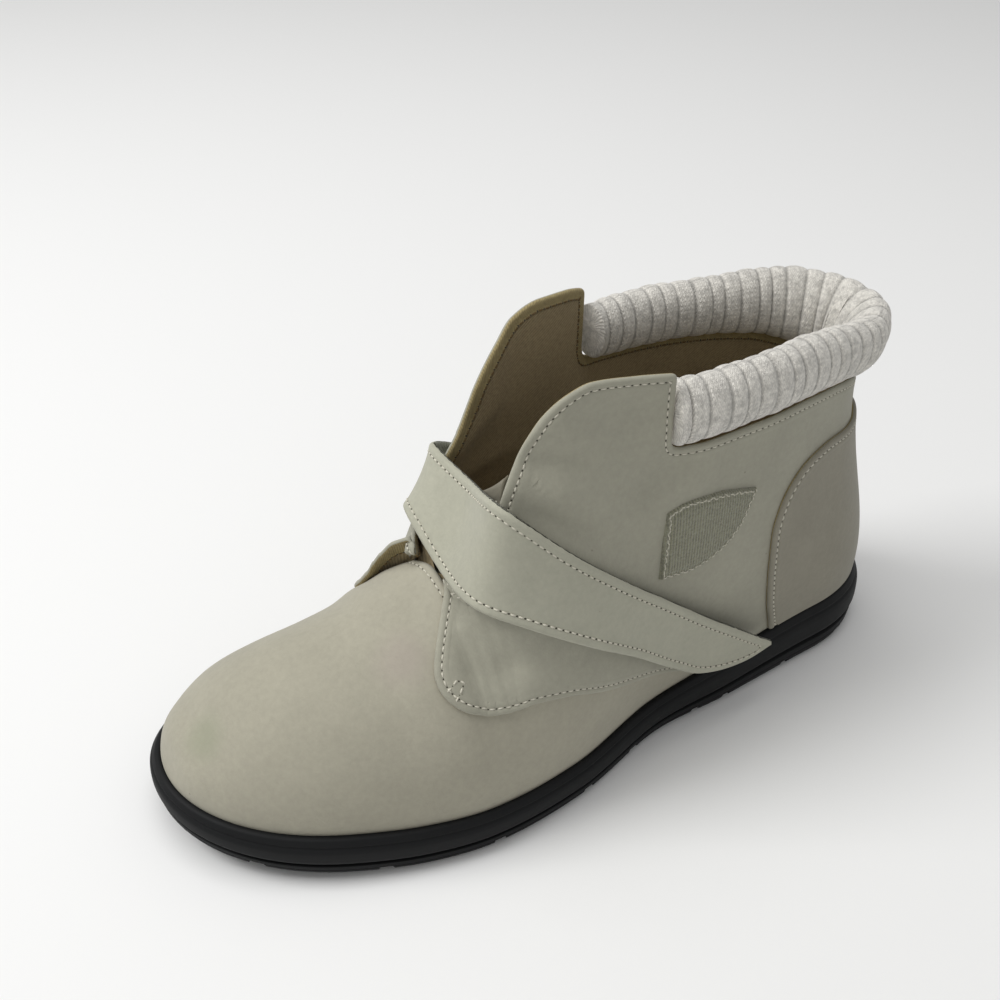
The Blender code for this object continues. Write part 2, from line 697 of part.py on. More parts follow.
def make_outsole(material, parts, cutters):
    """Cup sole: its side profile carried round the outline, a tray for the upper, and lugs
    left between grooves."""
    stations = np.union1d(STATIONS, [LATERAL_NOTCH, MEDIAL_NOTCH])
    rings = []
    for share, steps in SOLE_SIDE:
        def height(s, share=share):
            return sole_bottom(s) + (sole_top(s) - sole_bottom(s)) * share
        rings.append(ring_of(stations, steps * SIDE_STEP, height))
    tray_inset = LIP_WIDTH - CLEARANCE
    rings.append(ring_of(stations, tray_inset, sole_top))
    rings.append(ring_of(stations, tray_inset, tray))
    loop = len(rings[0])
    faces = grid_faces(len(rings), loop, closed=True)
    faces += cap_faces(len(stations), 0)
    faces += cap_faces(len(stations), (len(rings) - 1) * loop)
    sole = make_object("outsole", np.concatenate(rings), faces, material, parts)
    shade(sole, 40)
    for number, station in enumerate(GROOVES):
        bpy.ops.mesh.primitive_cube_add(size=1)
        cutter = bpy.context.object
        cutter.name = f"groove_{number + 1}"
        rise = float(sole_bottom(station + 0.01) - sole_bottom(station - 0.01))
        slope = np.arctan2(-rise, 0.02 * SOLE_LENGTH)
        depth = 4 * GROOVE_DEPTH
        cutter.scale = (1.6 * BALL_WIDTH, GROOVE_WIDTH, depth)
        cutter.rotation_euler = (slope, 0, 0)
        y = (0.5 - station) * SOLE_LENGTH
        z = float(sole_bottom(station)) + GROOVE_DEPTH - depth / 2
        cutter.location = (0, y, z)
        cutter.hide_render = True
        cutter.display_type = "WIRE"
        for owner in cutter.users_collection:
            owner.objects.unlink(cutter)
        cutters.objects.link(cutter)
        cut = sole.modifiers.new(f"Groove {number + 1}", "BOOLEAN")
        cut.operation = "DIFFERENCE"
        cut.solver = "EXACT"
        cut.object = cutter
    return sole


def make_insole(material, parts):
    """Cushioned inner sole lying in the cup inside the upper's wall."""
    stations = end_spaced(25)
    inset = LIP_WIDTH + WALL + 3 * CLEARANCE
    base = ring_of(stations, inset, lambda s: tray(s) + CLEARANCE)
    top = ring_of(stations, inset, lambda s: tray(s) + CLEARANCE + INSOLE_THICKNESS)
    loop = len(base)
    faces = grid_faces(2, loop, closed=True) + cap_faces(25, 0) + cap_faces(25, loop)
    insole = make_object("insole", np.concatenate([base, top]), faces, material, parts)
    shade(insole, 40)
    return insole


def upper_stations():
    """Stations of the upper with closer ones where the notches round into the ears."""
    near = NOTCH_ROUND / SOLE_LENGTH * np.array([1.0, 0.70, 0.40, 0.16, 0.0])
    groups = [notch(side) - near for side in (LATERAL, MEDIAL)]
    return np.unique(np.round(np.concatenate([STATIONS, *groups]), 6))


def make_upper(material, parts, helpers):
    """Hollow lasted upper: vamp and quarters in one wall, open at collar, throat and
    underneath, with the quarters' lobes raised on the vamp."""
    vertices, faces = [], []
    for side in (LATERAL, MEDIAL):
        stations = upper_stations()
        ear = stations[stations > notch(side) - 1e-6]
        seam = seam_share(side, stations)[:, None]
        low = np.tile(LOW_SHARES, (len(stations), 1))
        rise = np.arange(1, SEAM_STEPS + 1) / SEAM_STEPS
        low = np.concatenate([low, LOW_SHARES[-1] + (seam - LOW_SHARES[-1]) * rise], 1)
        body = last(side, stations[:, None] + 0 * low, low)
        skirt = body[:, :1].copy()
        skirt[:, 0, 2] = tray(stations) + CLEARANCE
        base = seam_share(side, ear)[:, None]
        high = base + (1 - base) * np.linspace(0, 1, EAR_STEPS + 1)
        for grid in (np.concatenate([skirt, body], 1), last(side, ear[:, None] + 0 * high, high)):
            first = sum(len(block) for block in vertices)
            quads = grid_faces(*grid.shape[:2], first)
            faces += quads if side == LATERAL else [tuple(reversed(f)) for f in quads]
            vertices.append(grid.reshape(-1, 3))
    upper = make_object("upper", np.concatenate(vertices), faces, material, parts)
    face_away(upper, (0, 0, 1))
    add_wall(upper, WALL, -1)
    shade(upper, 50)
    for side, name in ((LATERAL, "outer_lobe"), (MEDIAL, "inner_lobe")):
        lobe = make_lobe(side, name, material, helpers)
        join = upper.modifiers.new(name, "BOOLEAN")
        join.operation = "UNION"
        join.solver = "EXACT"
        join.object = lobe
    return upper


def make_lobe(side, name, material, helpers):
    """Raised edge of a quarter on the vamp: proud at its edge, sunk into the wall behind."""
    rows = np.asarray(LOBE)
    t = np.linspace(0, 1, 34)
    lift = smooth(t, np.linspace(0, 1, len(rows)), rows[:, 4]).clip(0) * FAR_LOBE_LIFT
    lift = lift * (side == MEDIAL)
    edge_s, edge_v = lobe_line(t, 0)
    back_s, back_v = lobe_line(t, 1)
    outer, inner = [], []
    sunk = 0.15 * WALL
    root = 0.6 * WALL
    for across in (0.0, 0.4, 1.0):
        s = edge_s + (back_s - edge_s) * across
        v = edge_v + (back_v - edge_v) * across
        proud = (OVERLAY + lift) * (1 - across) - sunk * across
        outer.append(on_last(side, s, v, proud))
        inner.append(on_last(side, s, v, lift * (1 - across) - root))
    vertices, faces = closed_sheet(np.stack(outer, 1), np.stack(inner, 1))
    lobe = make_object(name, vertices, faces, material, helpers)
    lobe.hide_render = True
    lobe.display_type = "WIRE"
    return lobe


def make_counter(material, parts):
    """Back panel over the heel, between its front edges on both sides."""
    rows = np.asarray(COUNTER_EDGE)
    shares = rows[0, 0] + (rows[-1, 0] - rows[0, 0]) * np.sin(np.linspace(0, 1, 17) * np.pi / 2)
    reach = steady(shares, rows[:, 0], rows[:, 1])
    across = np.linspace(-1, 1, 25)
    spread = np.sign(across) * np.abs(across) ** 1.7
    s = reach[:, None] * np.abs(spread)
    v = shares[:, None] + 0 * s
    sheets = []
    for off in (SEAT + OVERLAY, SEAT):
        outer_side = on_last(LATERAL, s, v, off + 0 * s)
        inner_side = on_last(MEDIAL, s, v, off + 0 * s)
        sheet = np.where((spread > 0)[None, :, None], outer_side, inner_side)
        middle = (outer_side + inner_side) / 2
        middle[..., 0] = 0
        sheets.append(np.where((spread == 0)[None, :, None], middle, sheet))
    vertices, faces = closed_sheet(*sheets)
    counter = make_object("counter", vertices, faces, material, parts)
    shade(counter, 40)
    return counter


def make_patch(material, parts):
    """Woven loop patch on the outer quarter."""
    rows = np.asarray(PATCH)
    at = np.linspace(0, 1, len(rows))
    t = np.linspace(0, 1, 15)
    s = steady(t, at, rows[:, 0])[:, None]
    low, high = (steady(t, at, rows[:, k])[:, None] * COLLAR_HEIGHT for k in (1, 2))
    z = low + (high - low) * np.linspace(0, 1, 5)
    s = s + 0 * z
    sheets = [wall_point(LATERAL, s, z, off + 0 * z) for off in (SEAT + PATCH_THICKNESS, SEAT)]
    vertices, faces = closed_sheet(*sheets)
    patch = make_object("fastener_patch", vertices, faces, material, parts)
    shade(patch, 40)
    return patch


def make_collar(material, parts):
    """Padded knit roll round the ankle opening."""
    points = 12
    rings = collar_rings(16, points)
    faces = grid_faces(len(rings), points, closed=True)
    faces.append(tuple(range(points)))
    last_ring = (len(rings) - 1) * points
    faces.append(tuple(last_ring + k for k in reversed(range(points))))
    collar = make_object("collar", rings.reshape(-1, 3), faces, material, parts)
    shade(collar, 50)
    return collar


def make_tongue(material, parts):
    """Short tongue in the throat."""
    grid = tongue_grid(12, 9)
    tongue = make_object("tongue", grid.reshape(-1, 3), grid_faces(12, 9), material, parts)
    add_wall(tongue, TONGUE_THICKNESS, 0)
    shade(tongue, 40)
    return tongue


def make_strap(material, parts):
    """Wide strap, its free end hanging over the outer side."""
    grid = strap_grid(42, 5)
    strap = make_object("strap", grid.reshape(-1, 3), grid_faces(42, 5), material, parts)
    face_away(strap, (0.5, -0.5, 1))
    add_wall(strap, STRAP_THICKNESS, 1)
    shade(strap, 40)
    return strap


def main():
    """Empty the scene, then make each piece in its own material."""
    for old in list(bpy.data.objects):
        bpy.data.objects.remove(old)
    parts = bpy.data.collections.new("Winter ankle boot")
    helpers = bpy.data.collections.new("Cutters and joined forms")
    for collection in (parts, helpers):
        bpy.context.scene.collection.children.link(collection)
    rubber = make_material("Black rubber", (0.012, 0.012, 0.014), 0.55)
    nubuck = make_material("Taupe nubuck", (0.36, 0.33, 0.26), 0.75)
    panel = make_material("Taupe back panel", (0.34, 0.31, 0.25), 0.75)
    strap_skin = make_material("Taupe strap", (0.38, 0.35, 0.28), 0.75)
    knit = make_material("Heather rib knit", (0.62, 0.60, 0.56), 0.95)
    loops = make_material("Woven loop tape", (0.33, 0.31, 0.25), 0.95)
    lining = make_material("Beige lining", (0.35, 0.29, 0.20), 0.90)
    tongue_skin = make_material("Taupe tongue", (0.30, 0.28, 0.22), 0.80)
    make_outsole(rubber, parts, helpers)
    make_insole(lining, parts)
    make_upper(nubuck, parts, helpers)
    make_tongue(tongue_skin, parts)
    make_counter(panel, parts)
    make_collar(knit, parts)
    make_patch(loops, parts)
    make_strap(strap_skin, parts)


main()
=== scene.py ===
from functools import partial

import bpy
import bmesh
import numpy as np
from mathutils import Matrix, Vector


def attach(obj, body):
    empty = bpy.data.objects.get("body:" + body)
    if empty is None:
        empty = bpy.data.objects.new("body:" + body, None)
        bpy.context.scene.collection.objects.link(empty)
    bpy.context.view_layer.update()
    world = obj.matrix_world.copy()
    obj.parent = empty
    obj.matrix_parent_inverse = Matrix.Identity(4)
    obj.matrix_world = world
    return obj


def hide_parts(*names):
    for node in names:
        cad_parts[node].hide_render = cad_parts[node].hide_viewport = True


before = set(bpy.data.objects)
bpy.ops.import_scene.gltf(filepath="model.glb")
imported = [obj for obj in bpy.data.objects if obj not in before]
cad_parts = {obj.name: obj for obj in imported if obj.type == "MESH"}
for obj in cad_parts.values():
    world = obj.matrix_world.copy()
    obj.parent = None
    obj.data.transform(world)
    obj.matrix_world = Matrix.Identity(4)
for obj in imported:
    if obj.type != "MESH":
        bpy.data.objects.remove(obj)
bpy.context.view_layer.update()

bl_info = {
    "name": "Winter ankle boot",
    "version": (1, 0, 0),
    "blender": (4, 5, 0),
    "location": "3D View > Sidebar > Boot",
    "description": "Dresses the solids of a left winter ankle boot in nubuck, knit and rubber",
    "category": "Mesh",
}

# Sole
SOLE_LENGTH = 0.276
BALL_WIDTH = 0.100
HEEL_WIDTH = 0.070
SOLE_HEEL_HEIGHT = 0.0227
SOLE_FORE_HEIGHT = 0.0144
TOE_SPRING = 0.0073
HEEL_SPRING = 0.0020
ARCH_RISE = 0.0010
SIDE_STEP = 0.0016
LIP_WIDTH = 0.0042
LIP_DEPTH = 0.0030
GROOVE_WIDTH = 0.0042
GROOVE_DEPTH = 0.0026
INSOLE_THICKNESS = 0.0040

# Upper
WALL = 0.0020
COLLAR_HEIGHT = 0.122
EAR_HEIGHT = 0.1495
INSTEP_HEIGHT = 0.0785
ANKLE_WIDTH = 0.074
SIDE_BULGE = 0.0065
HEEL_LEAN = 0.0120
OVERLAY = 0.0013
TONGUE_WIDTH = 0.034

# Collar, tongue, strap, patch
ROLL_THICKNESS = 0.0145
ROLL_HEIGHT = 0.0220
TONGUE_THICKNESS = 0.0026
STRAP_WIDTH = 0.035
STRAP_THICKNESS = 0.0024
STRAP_SLACK = 0.0020
STRAP_CROWN = 0.05
PATCH_THICKNESS = 0.0012
CLEARANCE = 0.0003
SEAT = 0.00060

LATERAL = 1
MEDIAL = -1

# Sole outline. Columns: station, share of half the heel width, share of half the ball width,
# sideways shift of the centre as a share of half the ball width.
OUTLINE = [
    (0.00, 0.96, 0.000, 0.00),
    (0.15, 1.00, 0.000, 0.00),
    (0.30, 0.60, 0.310, 0.02),
    (0.42, 0.30, 0.510, 0.06),
    (0.56, 0.00, 0.920, 0.05),
    (0.68, 0.00, 1.000, 0.01),
    (0.84, 0.00, 0.925, -0.11),
    (1.00, 0.00, 0.960, -0.30),
]

# Top edge of the sole. Columns: station, shares of heel height, fore height and toe spring.
SOLE_EDGE = [
    (0.00, 1.00, 0.00, 0.00),
    (0.20, 0.98, 0.00, 0.00),
    (0.42, 0.12, 0.90, 0.00),
    (0.65, 0.00, 1.00, 0.00),
    (0.90, 0.00, 1.00, 0.44),
    (1.00, 0.00, 0.90, 1.00),
]

# Side of the sole from the floor up. Columns: share of the height, inset in side steps.
SOLE_SIDE = [
    (0.00, 1.30),
    (0.07, 0.75),
    (0.29, 0.40),
    (0.32, 1.25),
    (0.37, 1.25),
    (0.41, 0.30),
    (0.56, 0.00),
    (0.72, 0.10),
    (0.84, 0.55),
    (1.00, 1.50),
]

# Stations of the grooves between the lugs.
GROOVES = [0.083, 0.190, 0.297, 0.350, 0.459, 0.542, 0.674, 0.807, 0.935]

# Line the outer quarter's sections rise to, from the back seam to the throat. Columns:
# station, share of half the ankle width before the heel's rounding, shares of collar, ear and
# instep height.
LATERAL_CROWN = [
    (0.000, 0.500, 0.869, 0.000, 0.000),
    (0.030, 0.510, 0.877, 0.000, 0.000),
    (0.070, 0.550, 0.898, 0.000, 0.000),
    (0.120, 0.635, 0.932, 0.000, 0.000),
    (0.200, 0.811, 1.000, 0.000, 0.000),
    (0.300, 0.946, 0.500, 0.470, 0.000),
    (0.380, 0.973, 0.160, 0.815, 0.000),
    (0.440, 0.914, 0.000, 0.982, 0.000),
    (0.480, 0.852, 0.000, 0.990, 0.000),
    (0.530, 0.811, 0.000, 1.000, 0.000),
    (0.560, 0.784, 0.000, 0.983, 0.000),
    (0.585, 0.730, 0.000, 0.943, 0.000),
    (0.607, 0.676, 0.000, 0.720, 0.285),
    (0.625, 0.622, 0.000, 0.500, 0.500),
    (0.641, 0.550, 0.000, 0.230, 0.760),
    (0.652, 0.400, 0.000, 0.000, 1.020),
]

# The same for the inner quarter, which stands a little lower and further back.
MEDIAL_CROWN = [
    (0.000, 0.500, 0.869, 0.000, 0.000),
    (0.030, 0.510, 0.877, 0.000, 0.000),
    (0.070, 0.550, 0.889, 0.000, 0.000),
    (0.120, 0.635, 0.918, 0.000, 0.000),
    (0.200, 0.811, 0.970, 0.000, 0.000),
    (0.300, 0.919, 0.500, 0.460, 0.000),
    (0.370, 0.892, 0.100, 0.850, 0.000),
    (0.420, 0.800, 0.000, 0.963, 0.000),
    (0.460, 0.757, 0.000, 0.967, 0.000),
    (0.500, 0.743, 0.000, 0.943, 0.000),
    (0.525, 0.703, 0.000, 0.896, 0.000),
    (0.555, 0.676, 0.000, 0.650, 0.316),
    (0.580, 0.649, 0.000, 0.450, 0.520),
    (0.600, 0.622, 0.000, 0.330, 0.660),
    (0.635, 0.595, 0.000, 0.120, 0.905),
    (0.652, 0.450, 0.000, 0.000, 1.020),
]

# Seam under the collar. Columns: station, outer and inner height as shares of collar height.
COLLAR_SEAM = [
    (0.000, 0.869, 0.869),
    (0.030, 0.877, 0.877),
    (0.070, 0.898, 0.889),
    (0.120, 0.926, 0.910),
    (0.200, 0.961, 0.927),
    (0.300, 0.981, 0.935),
    (0.370, 0.986, 0.945),
    (0.430, 0.988, 0.950),
]

# Station of the notch where the collar ends against the ear, outer and inner side.
LATERAL_NOTCH = 0.4330
MEDIAL_NOTCH = 0.3880
NOTCH_ROUND = 0.0035

# Crest of the vamp from the throat to the toe. Columns: station, share of the rise of the
# instep above the sole's edge.
RIDGE = [
    (0.665, 1.000),
    (0.690, 0.938),
    (0.720, 0.881),
    (0.780, 0.749),
    (0.850, 0.633),
    (0.910, 0.493),
    (0.955, 0.309),
    (0.985, 0.172),
    (1.000, 0.000),
]

# Form of each section. Columns: station, outer and inner bulge as shares of the side bulge,
# height of the low handle, outward and downward pull of the top handle, fullness of the inner
# side as a share of the outer.
SECTIONS = [
    (0.000, 0.23, 0.23, 0.35, 0.10, 0.45, 1.00),
    (0.130, 0.92, 0.92, 0.35, 0.00, 0.40, 1.00),
    (0.300, 1.00, 0.77, 0.34, 0.00, 0.40, 1.00),
    (0.450, 1.15, 0.77, 0.34, 0.05, 0.40, 1.00),
    (0.560, 0.92, 0.77, 0.34, 0.10, 0.35, 1.00),
    (0.620, 0.77, 0.70, 0.36, 0.15, 0.25, 0.92),
    (0.652, 0.62, 0.40, 0.45, 0.30, 0.05, 0.70),
    (0.665, 0.62, 0.20, 0.45, 0.50, 0.02, 0.60),
    (0.780, 0.46, 0.15, 0.55, 0.58, 0.00, 0.59),
    (0.900, 0.31, 0.30, 0.60, 0.60, 0.00, 0.74),
    (1.000, 0.00, 0.00, 0.60, 0.60, 0.00, 0.90),
]

# How far the top edge leans forward over the heel. Columns: station, share of the heel lean.
HEEL_LEANS = [
    (0.00, 1.00),
    (0.03, 0.79),
    (0.07, 0.42),
    (0.12, 0.08),
    (0.20, 0.00),
    (1.00, 0.00),
]

# Edge of the quarter where it lies on the vamp, from the throat round the lobe to the sole.
# Columns: station, height share of the section.
LOBE = [
    (0.6705, 0.865),
    (0.682, 0.835),
    (0.697, 0.78),
    (0.711, 0.71),
    (0.719, 0.64),
    (0.718, 0.57),
    (0.707, 0.50),
    (0.688, 0.44),
    (0.660, 0.38),
    (0.620, 0.32),
    (0.575, 0.265),
    (0.520, 0.21),
    (0.453, 0.15),
    (0.395, 0.09),
    (0.345, 0.02),
]

# Front edge of the back panel. Columns: height share of the section, station.
COUNTER_EDGE = [
    (0.010, 0.222),
    (0.190, 0.245),
    (0.370, 0.256),
    (0.500, 0.259),
    (0.620, 0.248),
    (0.680, 0.233),
    (0.730, 0.211),
    (0.785, 0.165),
    (0.840, 0.060),
    (0.870, 0.004),
]

# Section of the collar roll. Columns: station, middle moved outwards as a share of the roll's
# thickness, lean outwards in degrees, share of the roll's thickness, shares of the roll's
# height on the outer and the inner side.
COLLAR_FORM = [
    (0.000, 0.03, 24.0, 1.04, 1.17, 1.17),
    (0.050, 0.00, 20.0, 1.03, 1.08, 1.17),
    (0.120, -0.13, 10.0, 1.00, 1.00, 1.08),
    (0.200, -0.24, 0.0, 1.00, 0.98, 1.00),
    (0.300, -0.25, -2.0, 1.00, 0.98, 0.98),
    (0.430, -0.26, -4.0, 0.96, 0.98, 0.94),
]

# Strap from its sewn end on the inner side, over the throat, to its free tip on the outer side.
# Columns: side (-1 inner wall, 0 over the throat, 1 outer wall), station and height of the upper
# edge (height as a share of the instep height), share of the strap width, slant of the cross
# line forward in degrees, lift as a share of the lip width, and over the throat x of the upper
# and lower edge as shares of half the ankle width.
STRAP = [
    (-1, 0.455, 0.800, 0.76, 40.0, 0.00, 0.00, 0.00),
    (-1, 0.480, 0.920, 0.80, 38.0, 0.00, 0.00, 0.00),
    (-1, 0.530, 1.130, 0.90, 30.0, 0.10, 0.00, 0.00),
    (0, 0.592, 1.290, 0.66, 42.0, 0.00, -0.80, -0.605),
    (0, 0.601, 1.335, 0.84, 32.0, 0.00, 0.00, 0.15),
    (0, 0.622, 1.470, 0.99, 16.0, 0.00, 0.76, 0.79),
    (1, 0.571, 1.287, 0.78, 28.0, 0.00, 0.00, 0.00),
    (1, 0.496, 1.045, 0.64, 40.0, 0.00, 0.00, 0.00),
    (1, 0.433, 0.866, 0.61, 41.0, 0.10, 0.00, 0.00),
    (1, 0.365, 0.675, 0.61, 40.0, 0.50, 0.00, 0.00),
    (1, 0.322, 0.560, 0.58, 38.0, 0.80, 0.00, 0.00),
    (1, 0.290, 0.470, 0.42, 30.0, 1.00, 0.00, 0.00),
    (1, 0.262, 0.390, 0.20, 20.0, 1.10, 0.00, 0.00),
    (1, 0.247, 0.350, 0.04, 0.0, 1.15, 0.00, 0.00),
]

# Tongue from inside the vamp to its slanting top edge. Columns: station, heights of the
# middle, outer and inner edge as shares of the instep height.
TONGUE = [
    (0.700, 0.845, 0.790, 0.725),
    (0.665, 0.914, 0.860, 0.780),
    (0.642, 0.949, 0.905, 0.850),
    (0.622, 1.045, 1.032, 0.994),
    (0.607, 1.166, 1.236, 1.096),
    (0.596, 1.287, 1.503, 1.172),
]

# Stations where the heel's and the toe's rounding ends, where the ear's front ends, where the
# throat ends on the vamp, where the quarter's lower edge reaches the sole and where the vamp's
# lining starts, and the height share of the line inside the ears where it meets the throat. Then
# the powers of the two roundings.
HEEL_END = 0.14
TOE_END = 0.24
EAR_END = 0.652
THROAT = 0.665
QUARTER_FOOT = 0.338
LINING_START = 0.655
LOW_EAR = 0.86
HEEL_POWER = 2.2
TOE_POWER = 2.1


def smooth(x, xs, ys):
    """Cubic through a table; each inner slope is the mean of its two spans, weighted by the
    length of the other span."""
    h = np.diff(xs)
    d = np.diff(ys) / h
    m = np.empty(len(xs))
    m[1:-1] = (d[:-1] * h[1:] + d[1:] * h[:-1]) / (h[:-1] + h[1:])
    m[0], m[-1] = d[0], d[-1]
    return hermite(x, xs, ys, m)


def steady(x, xs, ys):
    """Cubic through a table that never overshoots: an inner slope is the harmonic mean of its
    two spans, or nothing where they turn."""
    h = np.diff(xs)
    d = np.diff(ys) / h
    m = np.zeros(len(xs))
    same = d[:-1] * d[1:] > 0
    a = np.where(same, d[:-1], 1.0)
    b = np.where(same, d[1:], 1.0)
    m[1:-1] = np.where(same, (h[:-1] + h[1:]) / (h[:-1] / b + h[1:] / a), 0.0)
    m[0], m[-1] = d[0], d[-1]
    return hermite(x, xs, ys, m)


def hermite(x, xs, ys, m):
    """Cubic pieces with the given slopes at the table's places."""
    h = np.diff(xs)
    k = np.clip(np.searchsorted(xs, x) - 1, 0, len(h) - 1)
    t = (x - xs[k]) / h[k]
    return (
        (2 * t**3 - 3 * t**2 + 1) * ys[k]
        + (t**3 - 2 * t**2 + t) * h[k] * m[k]
        + (-2 * t**3 + 3 * t**2) * ys[k + 1]
        + (t**3 - t**2) * h[k] * m[k + 1]
    )


def column(table, index, x, rule=smooth):
    """Value of a table's column at the places x of its first column."""
    rows = np.asarray(table, float)
    return rule(np.asarray(x, float), rows[:, 0], rows[:, index])


def round_end(x, power):
    """Superellipse quarter: 0 at x = 0, 1 from x = 1 on."""
    return (1 - np.clip(1 - x, 0, 1) ** power) ** (1 / power)


def ends(s):
    """Rounding of the heel and toe ends of the outline."""
    s = np.asarray(s, float)
    return round_end(s / HEEL_END, HEEL_POWER) * round_end((1 - s) / TOE_END, TOE_POWER)


def outline(s, inset):
    """Centre, half width and y of the sole's outline, moved in by inset."""
    s = np.asarray(s, float)
    half = column(OUTLINE, 1, s) * HEEL_WIDTH / 2 + column(OUTLINE, 2, s) * BALL_WIDTH / 2
    centre = column(OUTLINE, 3, s) * BALL_WIDTH / 2
    return centre, (half - inset) * ends(s), (0.5 - s) * (SOLE_LENGTH - 2 * inset)


def sole_top(s):
    """Height of the sole's top edge."""
    return (
        column(SOLE_EDGE, 1, s) * SOLE_HEEL_HEIGHT
        + column(SOLE_EDGE, 2, s) * SOLE_FORE_HEIGHT
        + column(SOLE_EDGE, 3, s) * TOE_SPRING
    )


def sole_bottom(s):
    """Height of the tread: flat, raised at the toe, the heel's end and the arch."""
    s = np.asarray(s, float)
    toe = TOE_SPRING * np.clip((s - 0.72) / 0.28, 0, 1) ** 2
    heel = HEEL_SPRING * np.clip((0.08 - s) / 0.08, 0, 1) ** 2
    arch = ARCH_RISE * np.cos(np.clip((s - 0.40) / 0.10, -1, 1) * np.pi / 2) ** 2
    return toe + heel + arch


def tray(s):
    """Height of the floor of the cup that the upper and the insole stand in."""
    return sole_top(s) - LIP_DEPTH


def crown(side, s):
    """x and z of the line the sections rise to: the quarter's behind the throat, the vamp's
    crest before it."""
    rows = np.asarray(LATERAL_CROWN if side == LATERAL else MEDIAL_CROWN)
    crest = np.asarray(RIDGE)
    quarter_x = side * rows[:, 1] * ANKLE_WIDTH / 2
    quarter_z = rows[:, 2] * COLLAR_HEIGHT + rows[:, 3] * EAR_HEIGHT + rows[:, 4] * INSTEP_HEIGHT
    crest_x = column(OUTLINE, 3, crest[:, 0]) * BALL_WIDTH / 2
    crest_z = sole_top(crest[:, 0]) + crest[:, 1] * (INSTEP_HEIGHT - SOLE_FORE_HEIGHT)
    stations = np.concatenate([rows[:, 0], crest[:, 0]])
    x = steady(s, stations, np.concatenate([quarter_x, crest_x]))
    z = steady(s, stations, np.concatenate([quarter_z, crest_z]))
    return x * round_end(s / HEEL_END, HEEL_POWER), z


def plain_last(side, s, v):
    """Outer face of the upper: at each station a Bezier curve from the feather line, v = 0,
    up and out over the bulge, to the top edge, v = 1."""
    s = np.asarray(s, float)
    v = np.asarray(v, float)[..., None]
    centre, half, y = outline(s, LIP_WIDTH)
    x0, z0 = centre + side * half, sole_top(s)
    x3, z3 = crown(side, s)
    y3 = y - HEEL_LEAN * column(HEEL_LEANS, 1, s)
    bulge = SIDE_BULGE * column(SECTIONS, 1 if side == LATERAL else 2, s) * ends(s)
    full = 1.0 if side == LATERAL else column(SECTIONS, 6, s)
    low = column(SECTIONS, 3, s) * full
    out = column(SECTIONS, 4, s) * (1 + full) / 2
    down = column(SECTIONS, 5, s)
    p0 = np.stack([x0, y, z0], -1)
    y1 = y + 0.2 * SIDE_BULGE * (1 - ends(s)) * (s < 0.5)
    p1 = np.stack([x0 + side * bulge, y1, z0 + low * (z3 - z0)], -1)
    p2 = np.stack([x3 + out * (x0 - x3), y3 + 0.1 * (y - y3), z3 - down * (z3 - z0)], -1)
    p3 = np.stack([x3, y3, z3], -1)
    return (1 - v) ** 3 * p0 + 3 * (1 - v) ** 2 * v * p1 + 3 * (1 - v) * v**2 * p2 + v**3 * p3


def unit(a):
    """Vectors of length one."""
    return a / np.linalg.norm(a, axis=-1, keepdims=True)


def last_normal(side, s, v):
    """Outward normal of the upper's face, from differences along and up it."""
    step = 0.002
    s = np.clip(s, step, 1 - 2 * step)
    v = np.clip(v, step, 1 - step)
    along = last(side, s + step, v) - last(side, s - step, v)
    up = last(side, s, v + step) - last(side, s, v - step)
    return unit(np.cross(up, along)) * side


def on_last(side, s, v, off):
    """Point at a distance off outside the upper's face."""
    off = np.asarray(off, float)
    return last(side, s, v) + last_normal(side, s, v) * off[..., None]


def share_at(side, s, z):
    """Height share v at which the section of each station s reaches the height z."""
    shares = np.linspace(0, 1, 81)
    s, z = np.broadcast_arrays(np.asarray(s, float), np.asarray(z, float))
    rises = last(side, s.ravel()[:, None] + 0 * shares, 0 * s.ravel()[:, None] + shares)[..., 2]
    found = [np.interp(want, rise, shares) for want, rise in zip(z.ravel(), rises)]
    return np.array(found).reshape(s.shape)


def collar_seam(side, s):
    """Height of the seam under the collar."""
    index = 1 if side == LATERAL else 2
    return column(COLLAR_SEAM, index, np.minimum(s, COLLAR_SEAM[-1][0])) * COLLAR_HEIGHT


def notch(side):
    """Station where the collar ends against the ear."""
    return LATERAL_NOTCH if side == LATERAL else MEDIAL_NOTCH


def seam_share(side, s):
    """Height share of the collar's seam, rounded up into the ear's upright edge behind the
    notch; before the notch an inner line that runs on to the throat."""
    s = np.asarray(s, float)
    start = notch(side)
    behind = (start - s) * SOLE_LENGTH
    into = np.clip(NOTCH_ROUND - behind, 0, NOTCH_ROUND)
    corner = NOTCH_ROUND - np.sqrt(NOTCH_ROUND**2 - into**2)
    seam = share_at(side, np.minimum(s, start), collar_seam(side, s) + corner)
    forward = np.clip((s - start) / (THROAT - start), 0, 1)
    return seam + (LOW_EAR - seam) * forward


def edge_share(side, s):
    """Height share of the upper's top edge: the collar's seam behind the notch and the whole
    section before it."""
    return np.where(np.asarray(s, float) < notch(side), seam_share(side, s), 1.0)


def wall_point(side, s, z, off):
    """Point outside the quarter at a station and height."""
    return on_last(side, s, share_at(side, s, z), off)


